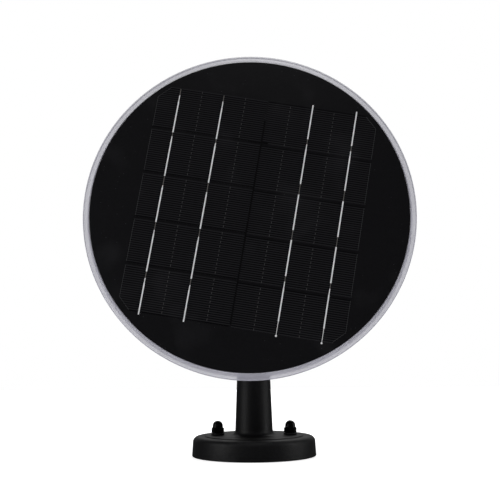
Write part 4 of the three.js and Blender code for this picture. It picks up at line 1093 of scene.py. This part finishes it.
# %% The rear housing's openings
SENSOR, SPEAKER, PORT, BUTTON, STATUS = (47.5, 40), (56, -14), (-52, 30), (-42, 50), (-57, 44)
MICROPHONE = (0, 28.5)
HUB_HOLE, SENSOR_HOLE, BUTTON_HOLE, STATUS_HOLE, SOUND_HOLE, MICROPHONE_HOLE = 9.8, 11.4, 4.6, 1.3, 1.1, 0.9
PIN_SLOT_REACH, PIN_SLOT = 20.9, 2.2
GROOVE_INNER, GROOVE_OUTER, GROOVE_DEPTH = 13.7, 16.7, 1.5


def hole_through(radius, spot, sides):
    """A cutter for a hole through the housing's wall."""
    return rod(radius, BACK - 1, BACK + 4, spot, sides)


pockets = [rod(3.2, BACK - 1, BACK + 3, spot) for spot in SCREW_SPOTS]
sound = [hole_through(SOUND_HOLE, spot, 20) for spot in [SPEAKER, *six_spots(4, SPEAKER)]]
openings = joined(
    *pockets, *sound, rod(HUB_HOLE, BACK - 1, BACK + 7, sides=64), hole_through(SENSOR_HOLE, SENSOR, 96),
    round_plate(12.4, 6.4, 2, BACK - 1, BACK + 4, PORT), hole_through(BUTTON_HOLE, BUTTON, 64),
    hole_through(STATUS_HOLE, STATUS, 20), hole_through(MICROPHONE_HOLE, MICROPHONE, 20),
)
shafts = joined(*[rod(1.8, BACK + 2, -13, spot, 24) for spot in SCREW_SPOTS])
eye_hole = set_down(rod(EYE_HOLE, TURRET_TOP - 1, INSIDE + 6, sides=96), moved(0, EYE_UP))
pin_slots = block(
    (-PIN_SLOT_REACH, EYE_UP - PIN_SLOT, TURRET_TOP - 1), (PIN_SLOT_REACH, EYE_UP + PIN_SLOT, BACK + 2.2)
)
groove = spun("groove", [
    (GROOVE_INNER, BACK - 1), (GROOVE_OUTER, BACK - 1), (GROOVE_OUTER, BACK + GROOVE_DEPTH),
    (GROOVE_INNER, BACK + GROOVE_DEPTH), (GROOVE_INNER, BACK - 1),
], 96)
combine(housing, "DIFFERENCE", openings, shafts, eye_hole, pin_slots, groove)
soften(housing, 0.35, 2, 50)
finished(housing, HEAD, POWDER_COAT, "rear_housing", angle=40)

# %% [markdown]
# Six identical screws close the housing. One is modelled, a low domed head with a hexagonal socket, and
# copied to its places. The seal in the groove of the hub is a ring with a rounded back.

# %% Housing screws and hub seal
screw_low, screw_high = size_on(HEAD, "housing_screw_1")
SHANK, SCREW_SOCKET = 1.5, 2.5
underhead = screw_low.z + 2
screw = spun("screw", [
    (0, screw_low.z), (1.9, screw_low.z), *arc(1.9, screw_low.z + 0.9, 0.9, -90, 0, 5),
    (2.8, underhead), (SHANK, underhead), (SHANK, screw_high.z - 0.6), (1.0, screw_high.z),
    (0, screw_high.z),
], 40)
combine(screw, "DIFFERENCE", hexagon(SCREW_SOCKET, screw_low.z - 1, screw_low.z + 1.3))
for number, spot in enumerate(SCREW_SPOTS, 1):
    twin = copied(screw)
    twin.name = f"socket_screw_{number}"
    finished(twin, HEAD @ moved(*spot), STEEL, f"housing_screw_{number}")
bpy.data.objects.remove(screw, do_unlink=True)

SEAL_INNER, SEAL_OUTER, SEAL_ROUND = 14, 16.4, 0.4
seal_back = BACK + 0.8
seal = spun("turning_seal", [
    (SEAL_INNER, BACK), (SEAL_OUTER, BACK), (SEAL_OUTER, seal_back),
    *arc(SEAL_OUTER - SEAL_ROUND, seal_back, SEAL_ROUND, 0, 90, 3),
    *arc(SEAL_INNER + SEAL_ROUND, seal_back, SEAL_ROUND, 90, 180, 3), (SEAL_INNER, BACK),
], 96)
finished(seal, HEAD, SILICONE, "hub_seal")

# %% [markdown]
# The camera eye is a ball held by two pins, so that it can nod behind its bezel. The ball is a spun
# sphere with a flat front and a bore.

# %% The camera eye's ball
EYE_RADIUS, EYE_FRONT, EYE_BACK, EYE_BORE = 18.0, 14.0, 12.0, 9.8
lowest = math.degrees(math.asin(EYE_FRONT / EYE_RADIUS))
highest = math.degrees(math.asin(EYE_BACK / EYE_RADIUS))
ball = spun("eye_ball", [
    (EYE_BORE, -EYE_FRONT + 0.4), (EYE_BORE + 0.4, -EYE_FRONT),
    *arc(0, 0, EYE_RADIUS, -lowest, highest, 28), (EYE_BORE, EYE_BACK), (EYE_BORE, -EYE_FRONT + 0.4),
], 96)
PIN, PIN_ROOT = 1.9, EYE_RADIUS - 4
pin_end = size_on(EYE, "camera_ball")[1].x
pins = joined(rod(PIN, -pin_end, -PIN_ROOT, sides=32), rod(PIN, PIN_ROOT, pin_end, sides=32))
combine(ball, "UNION", laid_across(pins))
soften(ball, 0.2, 2, 45)
finished(ball, EYE, ABS, "camera_ball")

# %% [markdown]
# In the ball's bore sit the lens barrel with its stepped baffles and a coated front lens, a ring of six
# infrared lamps on their board, and the clear window. All of them are small turned shapes, so each is
# an outline that is spun.

# %% Lens, lamps and window
barrel = spun("stepped_lens_barrel", [
    (0, 7.4), (8, 7.4), (8, 2), (6.2, 1), (6.2, -9.4), *arc(5.4, -9.6, 0.8, 0, -90, 5),
    (4.9, -10.4), (4.8, -9.9), (4.3, -9.9), (4.2, -9.3), (3.7, -9.3), (3.6, -8.6), (0, -8.6),
], 72)
finished(barrel, EYE, ABS, "lens_barrel")
front_lens = spun("front_lens", [
    (0, -8.55), (3.5, -8.55), (3.5, -8.8), *arc(0, -5.2, 4.9, -46, -90, 8),
], 64)
finished(front_lens, EYE, COATED_LENS, body="camera_eye", slot="camera_glass")

LAMP_RADIUS, LAMP_CIRCLE = 0.85, 7.9
lamps = []
for spot in six_spots(LAMP_CIRCLE):
    lamp = spun("lamp", [
        (0, -7.9), (1.0, -7.9), (1.0, -8.2), (LAMP_RADIUS, -8.2), (LAMP_RADIUS, -8.5),
        *arc(0, -8.5, LAMP_RADIUS, 0, -90, 5, 0.8),
    ], 24)
    lamps.append(set_down(lamp, moved(*spot)))
lamp_ring = joined(*lamps)
lamp_ring.name = "infrared_lamps"
finished(lamp_ring, EYE, LAMP, body="camera_eye", slot="camera_glass")
lamp_board = spun("lamp_board", [
    (6.6, -8), (9.2, -8), (9.3, -7.9), (9.3, -7), (6.6, -7), (6.6, -8),
], 72)
finished(lamp_board, EYE, BOARD, "infrared_ring")
window_low, window_high = size_on(EYE, "camera_window")
window = spun("eye_window", [
    (0, window_low.z), (9.1, window_low.z), (9.4, window_low.z + 0.3), (9.4, window_high.z),
    (0, window_high.z),
], 72)
finished(window, EYE, GLASS, "camera_window")
refined("image_sensor_board", BOARD, 0.1)

# %% [markdown]
# The bezel that keeps the ball is a flat ring, whose opening follows the ball with a clearance all
# round. Its outer edge and its lip are rounded.

# %% The bezel
bezel_low, bezel_high = size_on(HEAD, "camera_bezel")
BALL_CLEARANCE, RIM_ROUND, MOUTH_ROUND = 0.4, 1.0, 0.4


def opening(height):
    """The bezel's inner radius at a height: the ball's own, and a clearance."""
    return math.sqrt(EYE_RADIUS**2 - (height - BACK) ** 2) + BALL_CLEARANCE


bezel = spun("eye_bezel", [
    (opening(bezel_high.z), bezel_high.z), (TURRET_RADIUS, bezel_high.z),
    *arc(TURRET_RADIUS - RIM_ROUND, bezel_low.z + RIM_ROUND, RIM_ROUND, 0, -90, 5),
    *arc(opening(bezel_low.z) + MOUTH_ROUND, bezel_low.z + MOUTH_ROUND, MOUTH_ROUND, -90, -180, 3),
    (opening(bezel_high.z), bezel_high.z),
], 120)
finished(bezel, HEAD @ moved(0, EYE_UP), ABS, "camera_bezel")

# %% [markdown]
# The motion sensor's dome is moulded with flat facets, each of them a small lens. It is spun in few
# steps and shaded flat, so the facets are real. The button, the flap, the speaker and the status light
# stay simple: rounded rubber, a plugged cover and a paper cone behind the sound holes.

# %% Sensor dome, button, flap and speaker
DOME_RADIUS, DOME_INSIDE, DOME_BRIM = 11, 9.8, 13
DOME_RISE, DOME_WALL = 6.5, 1.2
dome_foot, brim, brim_back = BACK - 1, INSIDE + GAP, INSIDE + 1.3
dome = spun("faceted_sensor_dome", [
    (DOME_BRIM, brim_back), (DOME_BRIM, brim), (DOME_RADIUS, brim),
    *arc(0, dome_foot, DOME_RADIUS, 0, -90, 6, DOME_RISE / DOME_RADIUS),
    *arc(0, dome_foot, DOME_INSIDE, -90, 0, 6, (DOME_RISE - DOME_WALL) / DOME_INSIDE),
    (DOME_INSIDE, brim_back), (DOME_BRIM, brim_back),
], 20)
finished(dome, HEAD @ moved(*SENSOR), MILKY, "motion_lens", angle=6)

button = spun("rubber_power_button", [
    (0, BACK - 1.0), (2.3, BACK - 1.0), (2.5, BACK - 1.2), (3.1, BACK - 1.2),
    *arc(3.3, BACK - 0.3, 0.9, -90, 0, 4), (4.2, INSIDE + 0.4), (5.6, INSIDE + 0.4), (5.6, brim_back),
    (0, brim_back),
], 64)
finished(button, HEAD @ moved(*BUTTON), SILICONE, "power_button")
refined("port_flap", SILICONE, 0.45)
refined("speaker", STEEL, 0.3)
refined("status_light_pipe", MILKY, 0.2)
refined("motion_sensor", STEEL, 0.2)

# %% [markdown]
# What is left is inside the head or between its shells: boards, batteries, the chassis and thin seals.
# They keep their measured shapes.

# %% Inner pieces
INNER = {
    "panel_tape": (SILICONE, 0.1), "ring_gasket": (SILICONE, 0.15), "chassis_plate": (ABS, 0.4),
    "led_ring_board": (BOARD, 0.1), "battery_tray": (ABS, 0.3), "main_board": (BOARD, 0.15),
    "control_board": (BOARD, 0.1), **{f"battery_{number}": (SLEEVE, 0.7) for number in (1, 2, 3)},
}
for node, (material, width) in INNER.items():
    refined(node, material, width)

# %% [markdown]
# The camera stands well in front with a long lens, a little above the wall plate, and looks slightly up.
# It is turned about its own axis by half a degree, as a hand-set tripod is.

# %% The camera
VIEW_DISTANCE, VIEW_HEIGHT, VIEW_SIDE = 827.4, 92.7, -1.86
VIEW_TURN, VIEW_RISE, VIEW_ROLL = 0.87, 4.0, 0.47
LENS, SENSOR_WIDTH = 80.7, 36.0

camera_data = bpy.data.cameras.new("studio_camera")
camera_data.sensor_width = SENSOR_WIDTH
camera_data.lens = LENS
camera_data.clip_start, camera_data.clip_end = 0.01, 50
studio_camera = bpy.data.objects.new("studio_camera", camera_data)
bpy.context.scene.collection.objects.link(studio_camera)
studio_camera.matrix_world = (
    Matrix.Rotation(math.radians(VIEW_TURN), 4, "Z")
    @ Matrix.Translation(Vector((VIEW_SIDE, -VIEW_DISTANCE, VIEW_HEIGHT)) * MM)
    @ Matrix.Rotation(math.radians(90 + VIEW_RISE), 4, "X")
    @ Matrix.Rotation(math.radians(-VIEW_ROLL), 4, "Z")
)
bpy.context.scene.camera = studio_camera
print(f"a {LENS} mm lens at {VIEW_DISTANCE / 1000:.2f} m")

# %% [markdown]
# A black object on white is lit from the sides: tall soft boxes left and right draw bright bands down the
# post, and the dark room behind the camera keeps the panel black. A broad light from above whitens the
# floor and the top of the wall plate. Two soft boxes behind draw the bright line along the shoulder of
# the wall plate and light the back of the head.
#
# The floor is a sheet of opal acrylic lit from below, as on a product table, so it shows almost no
# shadow. The world is white where the camera sees it and dim where it lights, which is what a lit
# backdrop does. Black cards would keep the glow of the floor off the object. Here the floor is simply
# kept out of what glossy surfaces mirror.

# %% Floor, world and lights
FLOOR_SIZE = 1.8
AIM = (0, 0, 0.14)


def opal_floor(glow):
    bpy.ops.object.select_all(action="DESELECT")
    bpy.ops.mesh.primitive_plane_add(size=FLOOR_SIZE, location=(0, 0, -0.5 * MM))
    floor = bpy.context.object
    floor.name = "studio_floor"
    opal = new_finish("back_lit_opal_acrylic")
    add(opal, "Principled BSDF", {
        "Base Color": linear("#f4f4f4"), "Roughness": 0.9, "Specular IOR Level": 0.0,
        "Emission Color": (1, 1, 1, 1), "Emission Strength": glow,
    })
    floor.data.materials.append(opal)
    floor.visible_glossy = False


def lit_backdrop(seen, lighting):
    world = bpy.data.worlds.new("lit_backdrop")
    bpy.context.scene.world = world
    world.use_nodes = True
    ray = add(world, "ShaderNodeLightPath", output="Is Camera Ray")
    strength = add(world, "ShaderNodeMapRange", {"Value": ray, "To Min": lighting, "To Max": seen})
    add(world, "Background", {"Color": (1, 1, 1, 1), "Strength": strength})


def place_light(light, place, towards):
    studio_light = bpy.data.objects.new(light.name, light)
    bpy.context.scene.collection.objects.link(studio_light)
    studio_light.location = place
    studio_light.visible_camera = False
    direction = Vector(towards) - Vector(place)
    studio_light.rotation_euler = direction.to_track_quat("-Z", "Y").to_euler()


def soft_box(name, azimuth, distance, height, size, power):
    """An upright soft box, turned towards the post. Azimuth 0 is the camera's side."""
    box = bpy.data.lights.new(name, "AREA")
    box.shape = "RECTANGLE"
    box.size, box.size_y = size
    box.energy = power
    turn = math.radians(azimuth)
    place_light(box, (distance * math.sin(turn), -distance * math.cos(turn), height), AIM)


opal_floor(0.8)
lit_backdrop(seen=1.0, lighting=0.07)
overhead = bpy.data.lights.new("overhead_light", "SUN")
overhead.energy = 1.4
overhead.angle = math.radians(30)
place_light(overhead, (0.1, -0.6, 1.6), (0, 0, 0))
soft_box("left_soft_box", -62, 1.2, 0.35, (0.5, 1.2), 6.8)
soft_box("right_soft_box", 84, 1.2, 0.35, (0.5, 1.2), 6.0)
soft_box("low_back_soft_box", 180, 1.0, 0.4, (1.4, 0.7), 0.7)
soft_box("high_back_soft_box", 172, 1.0, 1.1, (1.2, 0.6), 4.0)
bpy.context.scene.view_settings.view_transform = "Standard"
